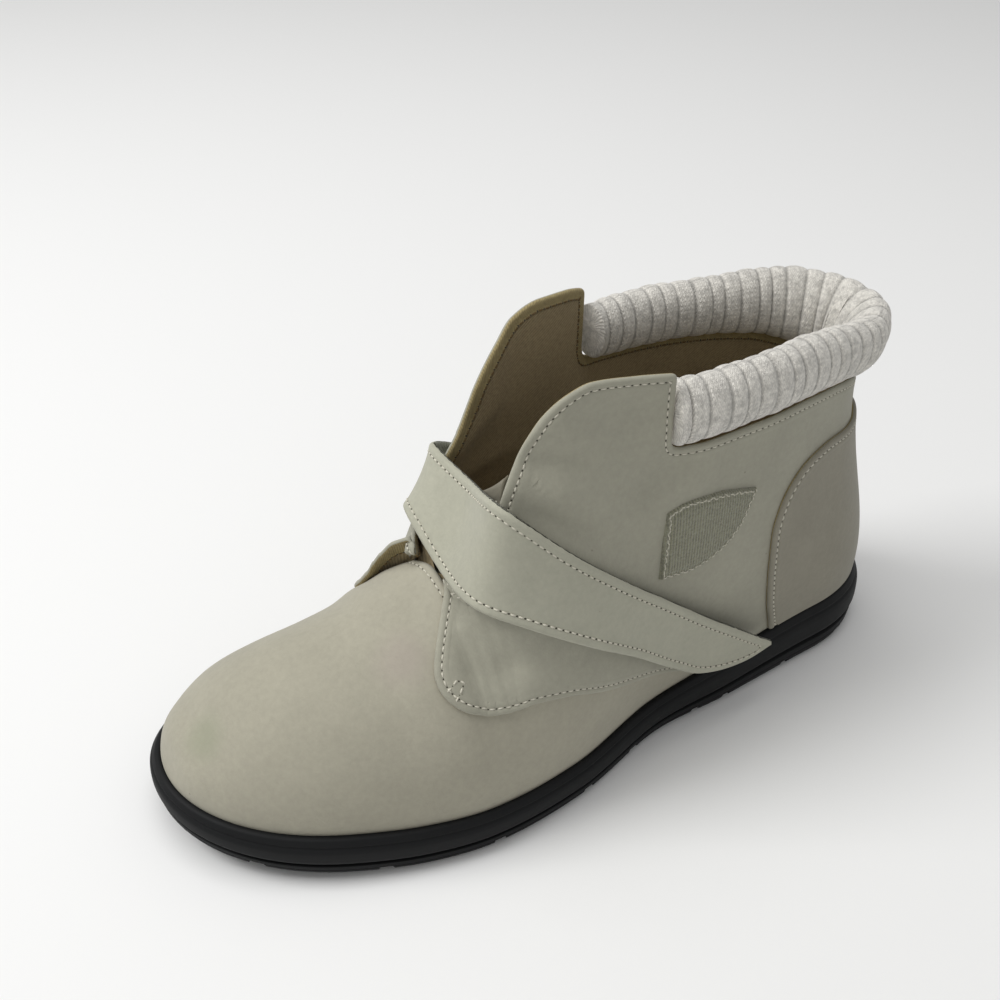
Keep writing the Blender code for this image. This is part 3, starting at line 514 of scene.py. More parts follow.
def strap_edges():
    """Upper and lower edge points of the strap's inner face, one pair for each table row."""
    run = SOLE_LENGTH - 2 * LIP_WIDTH
    upper, lower = [], []
    for side, s, rise, share, slant, lift, x_upper, x_lower in STRAP:
        turn = np.radians(slant)
        width = share * STRAP_WIDTH
        z = rise * INSTEP_HEIGHT
        low_z = z - width * np.cos(turn)
        low_s = s + width * np.sin(turn) / run
        off = STRAP_SLACK + lift * LIP_WIDTH
        if side == 0:
            upper.append((x_upper * ANKLE_WIDTH / 2, (0.5 - s) * run, z))
            lower.append((x_lower * ANKLE_WIDTH / 2, (0.5 - low_s) * run, low_z))
        else:
            upper.append(wall_point(side, s, z, off))
            lower.append(wall_point(side, low_s, low_z, off))
    return np.array(upper), np.array(lower)


def strap_grid(along_count, across_count):
    """Points of the strap's inner face: both edges are curves through the table's rows, and
    the strip between them is slightly crowned."""
    upper, lower = strap_edges()
    spans = np.linalg.norm(np.diff((upper + lower) / 2, axis=0), axis=-1)
    rows = np.concatenate([[0], np.cumsum(spans)]) / np.sum(spans)
    t = np.linspace(0, 1, along_count)
    a, b = (np.stack([smooth(t, rows, edge[:, k]) for k in range(3)], -1) for edge in (upper, lower))
    across = np.linspace(0, 1, across_count)[None, :, None]
    heading = unit(np.gradient((a + b) / 2, axis=0))
    width = np.linalg.norm(a - b, axis=-1)
    outward = unit(np.cross(heading, b - a + 1e-6))
    crowned = STRAP_CROWN * width[:, None, None] * 4 * across * (1 - across)
    return a[:, None] * (1 - across) + b[:, None] * across + outward[:, None] * crowned


def lobe_line(t):
    """Stations and height shares along the lobe's edge."""
    rows = np.asarray(LOBE)
    at = np.linspace(0, 1, len(rows))
    return smooth(t, at, rows[:, 0]), smooth(t, at, rows[:, 1])


def tongue_grid(along_count, across_count):
    """Middle surface of the tongue: across it a parabola through its inner edge, middle and
    outer edge heights."""
    rows = np.asarray(TONGUE)
    at = np.linspace(0, 1, len(rows))
    t = np.linspace(0, 1, along_count)
    u = np.linspace(-1, 1, across_count)[None, :]
    s, mid, outer, inner = (smooth(t, at, rows[:, k])[:, None] for k in range(4))
    z = (mid + (outer - inner) / 2 * u + ((outer + inner) / 2 - mid) * u**2) * INSTEP_HEIGHT
    x = TONGUE_WIDTH / 2 * u + 0 * s
    y = (0.5 - s) * (SOLE_LENGTH - 2 * LIP_WIDTH) + 0 * u
    return np.stack([x, y, z], -1)


MM = 0.001
BIG = 1.0

# Folded edge of a leather panel, from inside the panel over the edge to its lining side.
# Columns: distance from the edge, height over the panel's face, both in millimetres, and the
# number of the material: 0 leather, 1 lining, 2 edge tape.
FOLDED_EDGE = [
    (5.20, -0.22, 0),
    (4.40, 0.02, 0),
    (3.60, 0.06, 0),
    (3.00, 0.05, 0),
    (2.72, -0.04, 0),
    (2.50, -0.20, 0),
    (2.20, -0.20, 0),
    (1.95, -0.02, 0),
    (1.55, 0.10, 0),
    (1.10, 0.12, 0),
    (0.72, 0.04, 0),
    (0.40, -0.14, 0),
    (0.14, -0.42, 0),
    (0.00, -0.75, 0),
    (0.02, -1.05, 2),
    (0.12, -1.45, 2),
    (0.36, -1.80, 2),
    (0.75, -2.00, 2),
    (1.60, -2.06, 2),
    (2.60, -2.04, 2),
    (3.00, -2.14, 2),
    (3.30, -2.30, 1),
    (3.60, -2.14, 1),
    (4.30, -2.04, 1),
    (5.60, -2.02, 1),
    (7.40, -2.02, 1),
    (9.40, -2.02, 1),
]

# Distances from the edge, in millimetres: stitches, the seam of the tape on the lining side and
# the start of the panel's plain face. Height of the panels over the last, in millimetres.
STITCH_INSET = 2.35
TAPE_INSET = 3.35
MAIN_INSET = 3.9
UNDERLAY = 0.25

# Step of a rim from which distances are taken, in metres, and the height of the strap's rim over
# its inner face as a share of its thickness.
RIM_STEP = 0.0002
STRAP_RIM = 0.35

# Back edge of the vamp, hidden under the quarter except at the throat. Columns: height share,
# station.
VAMP_BACK = [
    (0.000, 0.300),
    (0.020, 0.315),
    (0.090, 0.360),
    (0.150, 0.420),
    (0.210, 0.485),
    (0.265, 0.540),
    (0.320, 0.585),
    (0.380, 0.625),
    (0.500, 0.655),
    (0.700, 0.655),
    (0.780, 0.662),
    (0.810, 0.676),
    (0.840, 0.679),
    (1.000, 0.679),
]

# Soft folds of the quarters. Columns: number of the fold, station, height share, depth and
# half width in millimetres.
OUTER_FOLDS = [
    (1, 0.608, 0.97, 0.70, 3.6),
    (1, 0.588, 0.91, 1.40, 4.2),
    (1, 0.552, 0.85, 1.50, 4.6),
    (1, 0.510, 0.825, 0.70, 5.0),
    (2, 0.624, 0.97, 0.80, 3.6),
    (2, 0.591, 0.765, 1.50, 4.4),
    (2, 0.550, 0.672, 1.50, 5.0),
    (2, 0.470, 0.585, 0.80, 5.5),
    (3, 0.497, 0.68, 0.60, 6.0),
    (3, 0.459, 0.74, 1.20, 6.5),
    (3, 0.422, 0.807, 1.20, 6.5),
    (3, 0.399, 0.86, 0.50, 6.0),
    (4, 0.668, 0.550, 0.20, 3.5),
    (4, 0.640, 0.500, 0.60, 4.5),
    (4, 0.612, 0.460, 0.70, 5.0),
    (4, 0.580, 0.430, 0.20, 5.0),
]
INNER_FOLDS = [
    (1, 0.590, 0.96, 0.40, 3.0),
    (1, 0.560, 0.86, 0.80, 3.6),
    (1, 0.500, 0.80, 0.40, 4.0),
    (2, 0.600, 0.78, 0.50, 3.4),
    (2, 0.540, 0.66, 0.80, 3.8),
    (2, 0.460, 0.58, 0.30, 4.0),
    (3, 0.420, 0.55, 0.20, 6.0),
    (3, 0.400, 0.70, 0.60, 6.0),
    (3, 0.395, 0.86, 0.20, 5.0),
]
QUARTER_FOLDS = {LATERAL: OUTER_FOLDS, MEDIAL: INNER_FOLDS}
VAMP_FOLDS = [
    (1, 0.700, 0.40, 0.10, 3.5),
    (1, 0.712, 0.62, 0.45, 3.5),
    (1, 0.716, 0.82, 0.45, 3.5),
    (1, 0.712, 0.98, 0.20, 3.5),
    (2, 0.740, 0.42, 0.10, 4.5),
    (2, 0.752, 0.60, 0.30, 4.5),
    (2, 0.756, 0.82, 0.30, 4.5),
    (2, 0.750, 0.96, 0.10, 4.5),
]

# Sewn arch that holds the tip of the lobe. Columns: station, height share.
LOBE_BOX = [
    (0.714, 0.572),
    (0.700, 0.597),
    (0.693, 0.573),
    (0.709, 0.527),
]

# Front edge of the quarter above the lobe, under the strap. Columns: station, height share,
# lift of the inner quarter, and how far behind the edge it lies down again, in millimetres.
FRONT_EDGE = [
    (0.610, 1.00, 0.0, 4.0),
    (0.635, 1.00, 0.2, 4.0),
    (0.652, 1.00, 0.8, 4.0),
    (0.660, 0.94, 2.8, 4.2),
    (0.667, 0.89, 6.2, 4.6),
]

# The same for the lobe's edge. Columns: share of the way round the lobe, lift, reach.
LOBE_LIFT = [
    (0.00, 7.4, 5.0),
    (0.06, 7.4, 6.5),
    (0.12, 5.6, 8.5),
    (0.17, 3.4, 9.0),
    (0.22, 1.0, 9.0),
    (0.28, 0.0, 9.0),
    (1.00, 0.0, 9.0),
]

# Edges of the loop patch from its front edge to its back corner. Columns: share of the way,
# station, height as a share of the collar height.
PATCH_LOW = [
    (0.00, 0.441, 0.615),
    (0.30, 0.395, 0.604),
    (0.62, 0.351, 0.628),
    (0.86, 0.318, 0.695),
    (1.00, 0.301, 0.782),
]
PATCH_HIGH = [
    (0.00, 0.436, 0.815),
    (0.28, 0.406, 0.833),
    (0.62, 0.363, 0.824),
    (1.00, 0.300, 0.784),
]

# Averaging of the sections along the boot at the throat, where they change form quickly: middle
# station, reach and widest averaging in stations, the narrowest that counts, the height share
# from which it fades with the share over which it does, and the taps with their weights.
BLEND_AT = 0.66
BLEND_REACH = 0.043
BLEND_WIDTH = 0.030
BLEND_LEAST = 0.0005
BLEND_FADE = (0.72, 0.14)
BLEND = [(-1.0, 0.15), (-0.5, 0.22), (0.0, 0.26), (0.5, 0.22), (1.0, 0.15)]


def last(side, s, v):
    """Face of the upper: the section's points, averaged along the boot near the throat by the
    weights of a few taps, less and less towards the crest."""
    s, v = np.broadcast_arrays(np.asarray(s, float), np.asarray(v, float))
    points = plain_last(side, s, v)
    width = (BLEND_WIDTH * np.exp(-((s - BLEND_AT) / BLEND_REACH) ** 2)
             * (1 - ease((v - BLEND_FADE[0]) / BLEND_FADE[1])) * (side == LATERAL))
    near = width > BLEND_LEAST
    if near.any():
        points[near] = sum(weight * plain_last(side, s[near] + tap * width[near], v[near])
                           for tap, weight in BLEND)
    return points


def linear(code):
    """Linear red, green and blue of an sRGB hex value."""
    raw = np.array([int(code[k:k + 2], 16) for k in (1, 3, 5)]) / 255
    return tuple(np.where(raw <= 0.04045, raw / 12.92, ((raw + 0.055) / 1.055) ** 2.4))


# Mesh tools

def quads(rows, columns, first=0, closed=False):
    """Corner numbers of a grid's quads, row by row; closed joins the last column to the first."""
    i, j = np.meshgrid(np.arange(rows - 1), np.arange(columns if closed else columns - 1),
                       indexing="ij")
    k = (j + 1) % columns
    a, b = first + i * columns, first + (i + 1) * columns
    return np.stack([a + j, a + k, b + k, b + j], -1).reshape(-1, 4)


class Patchwork:
    """Grids of points gathered into one mesh, each facing away from the given side."""

    def __init__(self):
        self.points, self.faces, self.cloth, self.slots, self.count = [], [], [], [], 0

    def add(self, grid, outward=None, cloth=None, slots=0, closed=False):
        """Adds a grid; outward is a field of directions or one direction that its faces look
        along, cloth the two measures along the surface, slots a material number per column."""
        rows, columns = grid.shape[:2]
        faces = quads(rows, columns, 0, closed)
        flat = grid.reshape(-1, 3)
        if outward is not None:
            across = np.cross(flat[faces[:, 1]] - flat[faces[:, 0]],
                              flat[faces[:, 3]] - flat[faces[:, 0]])
            aim = np.broadcast_to(outward, grid.shape).reshape(-1, 3)[faces[:, 0]]
            if (across * aim).sum() < 0:
                faces = faces[:, ::-1]
        number = np.broadcast_to(slots, (columns,))
        place = np.tile(number[:columns if closed else columns - 1], rows - 1)
        if cloth is None:
            cloth = flat[:, 1:] * 1.0
        self.points.append(flat)
        self.cloth.append(np.asarray(cloth).reshape(-1, 2))
        self.faces.append(faces + self.count)
        self.slots.append(place)
        self.count += len(flat)

    def turn_last(self, grid, k, aim):
        """Turns the last grid's faces over if those of column k look away from the aim."""
        face = np.cross(grid[1:, k] - grid[:-1, k], grid[:-1, k + 1] - grid[:-1, k])
        if (face * aim).sum() < 0:
            self.faces[-1] = self.faces[-1][:, ::-1]

    def build(self, name, materials, merge=2e-6):
        """Mesh object of all the grids, its doubles merged and shaded smooth."""
        points = np.concatenate(self.points)
        faces = np.concatenate(self.faces)
        cloth = np.concatenate(self.cloth)
        mesh = bpy.data.meshes.new(name)
        mesh.vertices.add(len(points))
        mesh.vertices.foreach_set("co", points.ravel())
        mesh.loops.add(faces.size)
        mesh.loops.foreach_set("vertex_index", faces.ravel())
        mesh.polygons.add(len(faces))
        mesh.polygons.foreach_set("loop_start", np.arange(len(faces)) * 4)
        mesh.polygons.foreach_set("material_index", np.concatenate(self.slots))
        mesh.update(calc_edges=True)
        layer = mesh.uv_layers.new(name="cloth")
        layer.data.foreach_set("uv", cloth[faces.ravel()].ravel())
        for material in materials:
            mesh.materials.append(material)
        work = bmesh.new()
        work.from_mesh(mesh)
        bmesh.ops.remove_doubles(work, verts=work.verts, dist=merge)
        bmesh.ops.dissolve_degenerate(work, edges=work.edges, dist=1e-7)
        work.to_mesh(mesh)
        work.free()
        mesh.shade_smooth()
        piece = bpy.data.objects.new(name, mesh)
        bpy.context.scene.collection.objects.link(piece)
        return piece


def settle(piece, slot, *nodes):
    """The piece rides with the boot and stands for CAD nodes, whose parts it hides. The slot is not
    used.
    """
    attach(piece, "root")
    if nodes:
        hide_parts(*nodes)
    return piece


def nearest(points, path):
    """Distance from each point to the closest point of a path, and that point's number: the
    least of the squared distances, worked out block by block."""
    flat = points.reshape(-1, 3)
    near, number = [], []
    for block in np.array_split(flat, max(1, len(flat) // 6000)):
        gap = (block**2).sum(1)[:, None] + (path**2).sum(1) - 2 * block @ path.T
        number.append(gap.argmin(1))
        near.append(np.sqrt(np.clip(gap.min(1), 0, None)))
    shape = points.shape[:-1]
    return np.concatenate(near).reshape(shape), np.concatenate(number).reshape(shape)


def ease(x):
    """Smooth step from 0 to 1."""
    x = np.clip(x, 0, 1)
    return x * x * (3 - 2 * x)


def lengths(path):
    """Length along a path up to each of its points."""
    return np.concatenate([[0], np.cumsum(np.linalg.norm(np.diff(path, axis=0), axis=1))])


def sampled(path, span, at):
    """Points of a path at given lengths along it, straight between its own points."""
    return np.stack([np.interp(at, span, path[:, k]) for k in range(3)], -1)


def even_path(path, step):
    """A path cut into even steps, and the length along it up to each new point."""
    span = lengths(path)
    even = np.linspace(0, span[-1], int(span[-1] / step))
    return sampled(path, span, even), even


def crowded(count):
    """Numbers from 0 to 1 that lie closer together towards both ends."""
    return 0.5 - 0.5 * np.cos(np.pi * np.linspace(0, 1, count))


def even_border(side, s, v, step, soft):
    """A border of stations and height shares cut into even steps, its corners rounded by a
    running mean over the soft length."""
    span = lengths(last(side, s, v))
    at = np.linspace(0, span[-1], max(int(span[-1] / step), 4))
    s, v = np.interp(at, span, s), np.interp(at, span, v)
    reach = max(int(soft / step), 1)
    weight = np.hanning(2 * reach + 3)
    weight /= weight.sum()
    s, v = (np.convolve(np.pad(q, reach + 1, mode="reflect", reflect_type="odd"), weight, "valid")
            for q in (s, v))
    return np.clip(s, 0, 1), np.clip(v, 0, 1)


def inward(side, s, v, turn):
    """Change of station and height share for a metre square to a border along the face, and the
    furthest that goes before it meets the border's own centre of curvature. The direction is
    the cross product of the face's normal and the border's heading."""
    step = 0.001
    s0 = np.clip(s, step, 1 - 2 * step)
    v0 = np.clip(v, step, 1 - step)
    along = (last(side, s0 + step, v0) - last(side, s0 - step, v0)) / (2 * step)
    up = (last(side, s0, v0 + step) - last(side, s0, v0 - step)) / (2 * step)
    path = last(side, s, v)
    run = np.gradient(path, axis=0)
    heading = unit(run)
    aim = unit(np.cross(last_normal(side, s, v), heading)) * turn
    aa, ab, bb = (along**2).sum(-1), (along * up).sum(-1), (up**2).sum(-1)
    ra, rb = (aim * along).sum(-1), (aim * up).sum(-1)
    det = aa * bb - ab**2
    bend = (np.gradient(heading, axis=0) * aim).sum(-1) / np.linalg.norm(run, axis=-1)
    reach = np.where(bend > 1, 0.9 / np.maximum(bend, 1), BIG)
    return (ra * bb - rb * ab) / det * ease(s / 0.006), (rb * aa - ra * ab) / det, reach


def inset_border(side, s, v, turn, depth, ways=None):
    """Stations and height shares of lines at depths, in millimetres, inside a border."""
    ds, dv, reach = ways or inward(side, s, v, turn)
    depth = np.minimum(np.atleast_1d(depth) * MM, reach[:, None])
    return (np.clip(s[:, None] + ds[:, None] * depth, 0, 1),
            np.clip(v[:, None] + dv[:, None] * depth, 0, 1))


def edge_band(work, side, s, v, turn, offset, ways=None):
    """Folded edge with a stitch groove: the profile's rows carried along a border on the face,
    each at its own distance and height. Returns the stitch lines on the face and on the lining
    side, each with its normals."""
    rows = np.asarray(FOLDED_EDGE)
    si, vi = inset_border(side, s, v, turn, rows[:, 0], ways)
    height = offset(side, si, vi) + rows[:, 1] * MM
    grid = on_last(side, si, vi, height)
    cloth = np.stack([lengths(grid[:, 3])[:, None] + 0 * si, rows[:, 0] * MM + 0 * si], -1)
    work.add(grid, None, cloth, rows[:, 2].astype(int))
    work.turn_last(grid, 3, last_normal(side, si[:-1, 3], vi[:-1, 3]))
    found = []
    for inset, rise, facing in ((STITCH_INSET, -0.16, 1), (TAPE_INSET, -2.26, -1)):
        line_s, line_v = (q[:, 0] for q in inset_border(side, s, v, turn, inset, ways))
        path = on_last(side, line_s, line_v, offset(side, line_s, line_v) + rise * MM)
        normal = last_normal(side, line_s, line_v) * facing
        step, edge_step = np.gradient(path, axis=0), np.gradient(last(side, s, v), axis=0)
        ahead = (step * edge_step).sum(-1) > 0.45 * (edge_step**2).sum(-1)
        found.append((path[ahead], normal[ahead]))
    return found


# Upper

def quarter_border(side):
    """Free edge of a quarter: collar seam, back edge of the ear, its top and front, then round
    the lobe and down to the sole."""
    start = notch(side)
    seam_s = np.linspace(0, start, 260)
    rise_v = np.linspace(float(seam_share(side, start)), 1, 60)[1:]
    top_s = np.linspace(start, EAR_END, 200)[1:]
    down = np.linspace(0, 1, 12)[1:-1]
    lobe_s, lobe_v = lobe_line(np.linspace(0, 1, 300))
    s = np.concatenate([seam_s, start + 0 * rise_v, top_s, EAR_END + (LOBE[0][0] - EAR_END) * down,
                        lobe_s, [QUARTER_FOOT]])
    v = np.concatenate([seam_share(side, seam_s), rise_v, 1 + 0 * top_s, 1 - (1 - LOBE[0][1]) * down,
                        lobe_v, [0.0]])
    return even_border(side, s, v, 0.5 * MM, 2.6 * MM)


def fold_depth(side, points, table):
    """Sum of soft troughs along listed lines: each a bell across, with a low ridge beside
    it, faded at both ends."""
    rows = np.asarray(table)
    total = np.zeros(points.shape[:-1])
    for number in np.unique(rows[:, 0]):
        own = rows[rows[:, 0] == number]
        at = np.linspace(0, 1, len(own))
        t = np.linspace(0, 1, 60)
        s, v, depth, half = (steady(t, at, own[:, k]) for k in (1, 2, 3, 4))
        gap, index = nearest(points, last(side, s, v))
        wide = half[index] * MM
        ends_fade = np.sin(np.pi * t[index]) ** 0.7
        bell = np.exp(-(gap / wide) ** 2) - 0.4 * np.exp(-((gap - 1.9 * wide) / wide) ** 2)
        total -= depth[index] * MM * bell * ends_fade
    return total


def quarter_height(side, s, v):
    """Height of a quarter over the last: proud where it lies on the vamp, lifted at the inner
    lobe, with its folds and the groove of the back seam."""
    points = last(side, s, v)
    t = np.linspace(0, 1, 200)
    rim_s, rim_v = lobe_line(t)
    rim = last(side, rim_s, rim_v)
    rise, reach = (column(LOBE_LIFT, k, t, steady) for k in (1, 2))
    gap, _ = nearest(points, rim)
    front = np.asarray(FRONT_EDGE)
    k = np.linspace(0, len(front) - 1, 60)
    front_s, front_v, front_rise, front_reach = (np.interp(k, np.arange(len(front)), q)
                                                 for q in front.T)
    whole = np.concatenate([last(side, front_s, front_v), rim])
    rise, reach = np.concatenate([front_rise, rise]), np.concatenate([front_reach, reach])
    far, index = nearest(points, whole)
    lifted = rise[index] * MM * (1 - ease(far / (reach[index] * MM))) * (side == MEDIAL)
    on_vamp = OVERLAY * (1 - ease((gap - 3 * MM) / (12 * MM)))
    seam = 0.45 * MM * np.exp(-((s * SOLE_LENGTH) / (1.1 * MM)) ** 2)
    folds = fold_depth(side, points, QUARTER_FOLDS[side])
    return UNDERLAY * MM + on_vamp + lifted + folds - seam


def quarter_grids(side, s, v, inset, counts):
    """Stations and height shares of the quarter inside a line at the given inset: a body up to
    the collar's seam line, with counts of columns and rows, and the ear over it."""
    si, vi = inset_border(side, s, v, side, inset)
    si, vi = si[:, 0], vi[:, 0]
    tip = int(si.argmax())
    up_s, up_v = np.maximum.accumulate(si[:tip + 1]), vi[:tip + 1]
    low_s, low_v = np.maximum.accumulate(si[tip:][::-1]), vi[tip:][::-1]
    columns = np.linspace(0, 1, counts[0]) * up_s[-1]
    top = np.minimum(seam_share(side, columns), np.interp(columns, up_s, up_v))
    low = np.interp(columns, low_s, low_v, left=0)
    top = np.maximum(top, low)
    rows = np.linspace(0, 1, counts[1])
    body_v = low[:, None] + (top - low)[:, None] * rows
    body_s = columns[:, None] + 0 * body_v
    ear = np.linspace(notch(side) + inset * MM / SOLE_LENGTH * 1.04, 0.69, 90)
    base, high = seam_share(side, ear), np.interp(ear, up_s, up_v)
    keep = high > base + 0.003
    ear, base, high = ear[keep], base[keep], high[keep]
    ear_v = base[:, None] + (high - base)[:, None] * np.linspace(0, 1, 50)
    return (body_s, body_v), (ear[:, None] + 0 * ear_v, ear_v)


def surface(work, side, s, v, height, facing, slot):
    """Adds a grid on the last at a height, with a skirt down into the sole's cup where it starts
    at the feather line."""
    grid = on_last(side, s, v, height)
    grid[..., 0] = np.where(s < 1e-9, 0, grid[..., 0])
    normal = last_normal(side, s, v) * facing
    cloth = np.stack([-(s * SOLE_LENGTH), grid[..., 2]], -1)
    if (v[:, 0] < 1e-9).any():
        skirt = grid[:, :1].copy()
        low = tray(s[:, 0]) + CLEARANCE
        skirt[:, 0, 2] = np.where(v[:, 0] < 1e-9, low, skirt[:, 0, 2])
        grid = np.concatenate([skirt, grid], 1)
        normal = np.concatenate([normal[:, :1], normal], 1)
        cloth = np.concatenate([cloth[:, :1], cloth], 1)
    work.add(grid, normal, cloth, slot)


def stitches(lines, name, thread, hole, pitch, length=1.75, thick=0.62, gap_holes=True):
    """Sewn rows: short capsules set end to end along lines that lie on a surface, sunk at their
    ends, with a dark bead of painted shade in the needle hole between each two. Each is a ring
    profile times a row of rings, turned into the line's own three directions."""
    work = Patchwork()
    x = np.array([-1.0, -0.93, -0.7, 0.0, 0.7, 0.93, 1.0]) * length / 2
    round_off = np.array([0.05, 0.55, 0.9, 1.0, 0.9, 0.55, 0.05]) * thick / 2
    dip = np.array([-0.34, -0.22, -0.06, 0.06, -0.06, -0.22, -0.34])
    turn = np.linspace(0, 2 * np.pi, 7)[:-1]

    def ringed(x, radius, low, tall):
        """Ellipses of the given radius and height share round an axis that dips by low."""
        rows = [q[:, None] for q in (x, radius, low)]
        return np.stack([rows[0] + 0 * turn, rows[1] * np.cos(turn),
                         rows[2] + tall * rows[1] * np.sin(turn)], -1) * MM

    bead_x = np.array([-0.36, -0.2, 0.0, 0.2, 0.36])
    bead_radius = np.array([0.03, 0.34, 0.42, 0.34, 0.03])
    capsule = ringed(x, round_off, dip, 1)
    # The bead between the capsules is painted shade: a dark lump sunk where the needle hole's shade
    # falls.
    bead = ringed(bead_x, bead_radius, 0 * bead_x - 0.14, 0.6)
    shapes = [(capsule, 0.0, 0)] + ([(bead, 0.5, 1)] if gap_holes else [])
    for points, normals in lines:
        span = lengths(points)
        count = int(span[-1] / (pitch * MM))
        if count < 1:
            continue
        for shape, shift, slot in shapes:
            at = (np.arange(count - (shift > 0)) + 0.5 + shift) * span[-1] / count
            centre, up, ahead, behind = (
                sampled(q, span, at + d)
                for q, d in ((points, 0), (normals, 0), (points, 0.6 * MM), (points, -0.6 * MM)))
            along = unit(ahead - behind)
            up = unit(up - along * (up * along).sum(-1, keepdims=True))
            across = np.cross(up, along)
            axes = np.stack([along, across, up], 1)
            placed = centre[:, None, None] + np.einsum("abk,nkc->nabc", shape, axes)
            rings, sides = shape.shape[:2]
            faces = quads(rings, sides, 0, True)
            total = rings * sides
            shift_by = (np.arange(len(placed)) * total)[:, None, None]
            work.points.append(placed.reshape(-1, 3))
            work.cloth.append(np.tile(shape.reshape(-1, 3)[:, :2], (len(placed), 1)))
            work.faces.append((faces[None] + shift_by).reshape(-1, 4)[:, ::-1] + work.count)
            work.slots.append(np.full(len(placed) * len(faces), slot))
            work.count += len(placed) * total
    return work.build(name, [thread, hole], merge=1e-8)


def make_quarter(side, name, materials):
    """Quarter: its face inside the stitched edge, the folded edge itself, and the lines for its
    stitches.
    """
    work = Patchwork()
    s, v = quarter_border(side)
    for cs, cv in quarter_grids(side, s, v, MAIN_INSET, (230, 100)):
        surface(work, side, cs, cv, quarter_height(side, cs, cv), 1, 0)
    face_line, tape_line = edge_band(work, side, s, v, side, quarter_height)
    return work.build(name, materials), face_line, tape_line


def make_lining(side, name, material):
    """Lining inside a quarter and the vamp, one wall thickness in from the face."""
    work = Patchwork()
    s, v = quarter_border(side)
    for cs, cv in quarter_grids(side, s, v, MAIN_INSET, (150, 66)):
        inner = fold_depth(side, last(side, cs, cv), QUARTER_FOLDS[side])
        surface(work, side, cs, cv, inner - WALL, -1, 0)
    rows = np.linspace(0, 1, 60)[:, None]
    share = 1 - (1 - np.linspace(0, 1, 50)) ** 1.6
    stations = LINING_START + (1 - LINING_START) * share[None, :]
    cs, cv = (q.T for q in np.broadcast_arrays(stations, rows))
    surface(work, side, cs, cv, 0 * cs - WALL - CLEARANCE, -1, 0)
    return work.build(name, [material])


def vamp_height(side, s, v):
    """Height of the vamp over the last: level, with the soft folds behind the ball."""
    return fold_depth(side, last(side, s, v), VAMP_FOLDS)


def make_vamp(name, materials):
    """Vamp: both sides from the throat's edge and from under the quarters to the toe tip, with a
    folded and stitched throat edge."""
    work = Patchwork()
    lines = []
    for side in (LATERAL, MEDIAL):
        rows = np.linspace(0, 1, 140)
        start = column(VAMP_BACK, 1, rows, steady)
        share = 1 - (1 - np.linspace(0, 1, 172)) ** 1.7
        s = start + (1 - start) * share[:, None]
        v = rows + 0 * s
        surface(work, side, s, v, vamp_height(side, s, v), 1, 0)
        edge_v = np.linspace(0.80, 1, 120)
        edge_s = np.full(120, THROAT)
        ways = (edge_s * 0 + 1 / (SOLE_LENGTH - 2 * LIP_WIDTH), edge_v * 0, edge_s * 0 + BIG)
        lines.append(edge_band(work, side, edge_s, edge_v, side, vamp_height, ways)[0])
    return work.build(name, materials), lines


# Counter, patch, tongue, strap

def counter_height(side, s, v):
    """Height of the back panel over the last."""
    return (SEAT + OVERLAY) + 0 * s


def make_counter_panel(name, materials):
    """Back panel: rows up the heel, each from the back to the folded front edge."""
    work = Patchwork()
    lines = []
    rows = np.asarray(COUNTER_EDGE)
    for side in (LATERAL, MEDIAL):
        v = rows[0, 0] + (rows[-1, 0] - rows[0, 0]) * np.sin(np.linspace(0, 1, 300) * np.pi / 2)
        s = steady(v, rows[:, 0], rows[:, 1])
        s[-1] = 0
        s, v = even_border(side, s, v, 0.5 * MM, 1.5 * MM)
        lines.append(edge_band(work, side, s, v, -side, counter_height)[0])
        si, vi = (q[:, 0] for q in inset_border(side, s, v, -side, MAIN_INSET))
        si = np.where(np.arange(len(si)) > len(si) - 3, 0, si)
        order = np.maximum.accumulate(vi)
        height = np.linspace(rows[0, 0], order[-1], 90)
        reach = np.interp(height, order, si)
        across = np.linspace(0, 1, 72) ** 1.3
        cs = (reach[:, None] * across).T
        cv = (height[:, None] + 0 * across).T
        surface(work, side, cs, cv, counter_height(side, cs, cv), 1, 0)
    return work.build(name, materials), lines


def make_loop_patch(name, material):
    """Leaf of loop tape: a grid ruled between its lower and upper edge, lower at the rim.
    Returns it and its stitch line, a zigzag beside the rim."""
    work = Patchwork()
    t, w = crowded(170), crowded(80)
    low_s, high_s = (column(rows, 1, t, steady)[:, None] for rows in (PATCH_LOW, PATCH_HIGH))
    low_z, high_z = (column(rows, 2, t, steady)[:, None] * COLLAR_HEIGHT
                     for rows in (PATCH_LOW, PATCH_HIGH))
    s, z = low_s + (high_s - low_s) * w, low_z + (high_z - low_z) * w
    share = share_at(LATERAL, s, z)
    flat = last(LATERAL, s, share)
    rim, even = even_path(np.concatenate([flat[0], flat[:, -1], flat[::-1, 0]]), RIM_STEP)
    gap, number = nearest(flat, rim)
    frayed = 0.12 * MM * np.sin(even[number] / (0.9 * MM)) * np.sin(even[number] / (2.3 * MM))
    body = ease(gap / (0.5 * MM)) * 0.8 + ease((gap - 2.0 * MM) / (1.0 * MM)) * 0.2
    height = SEAT - 0.3 * MM + (PATCH_THICKNESS + 0.3 * MM) * body
    grid = on_last(LATERAL, s, share, height)
    grid[..., 2] += frayed * (1 - ease(gap / (1.0 * MM)))
    work.add(grid, (1, 0, 0), np.stack([s * SOLE_LENGTH, z], -1))
    middle = flat.reshape(-1, 3).mean(0)
    zigzag = 1.30 * MM + 0.22 * MM * np.sign(np.sin(even * np.pi / (1.5 * MM)))
    inner = rim + unit(middle - rim) * zigzag[:, None]
    _, spot = nearest(inner, flat.reshape(-1, 3))
    normal = last_normal(LATERAL, s, share).reshape(-1, 3)[spot]
    inner = flat.reshape(-1, 3)[spot] + normal * (SEAT + 0.85 * PATCH_THICKNESS)
    return work.build(name, [material]), [(inner, normal)]


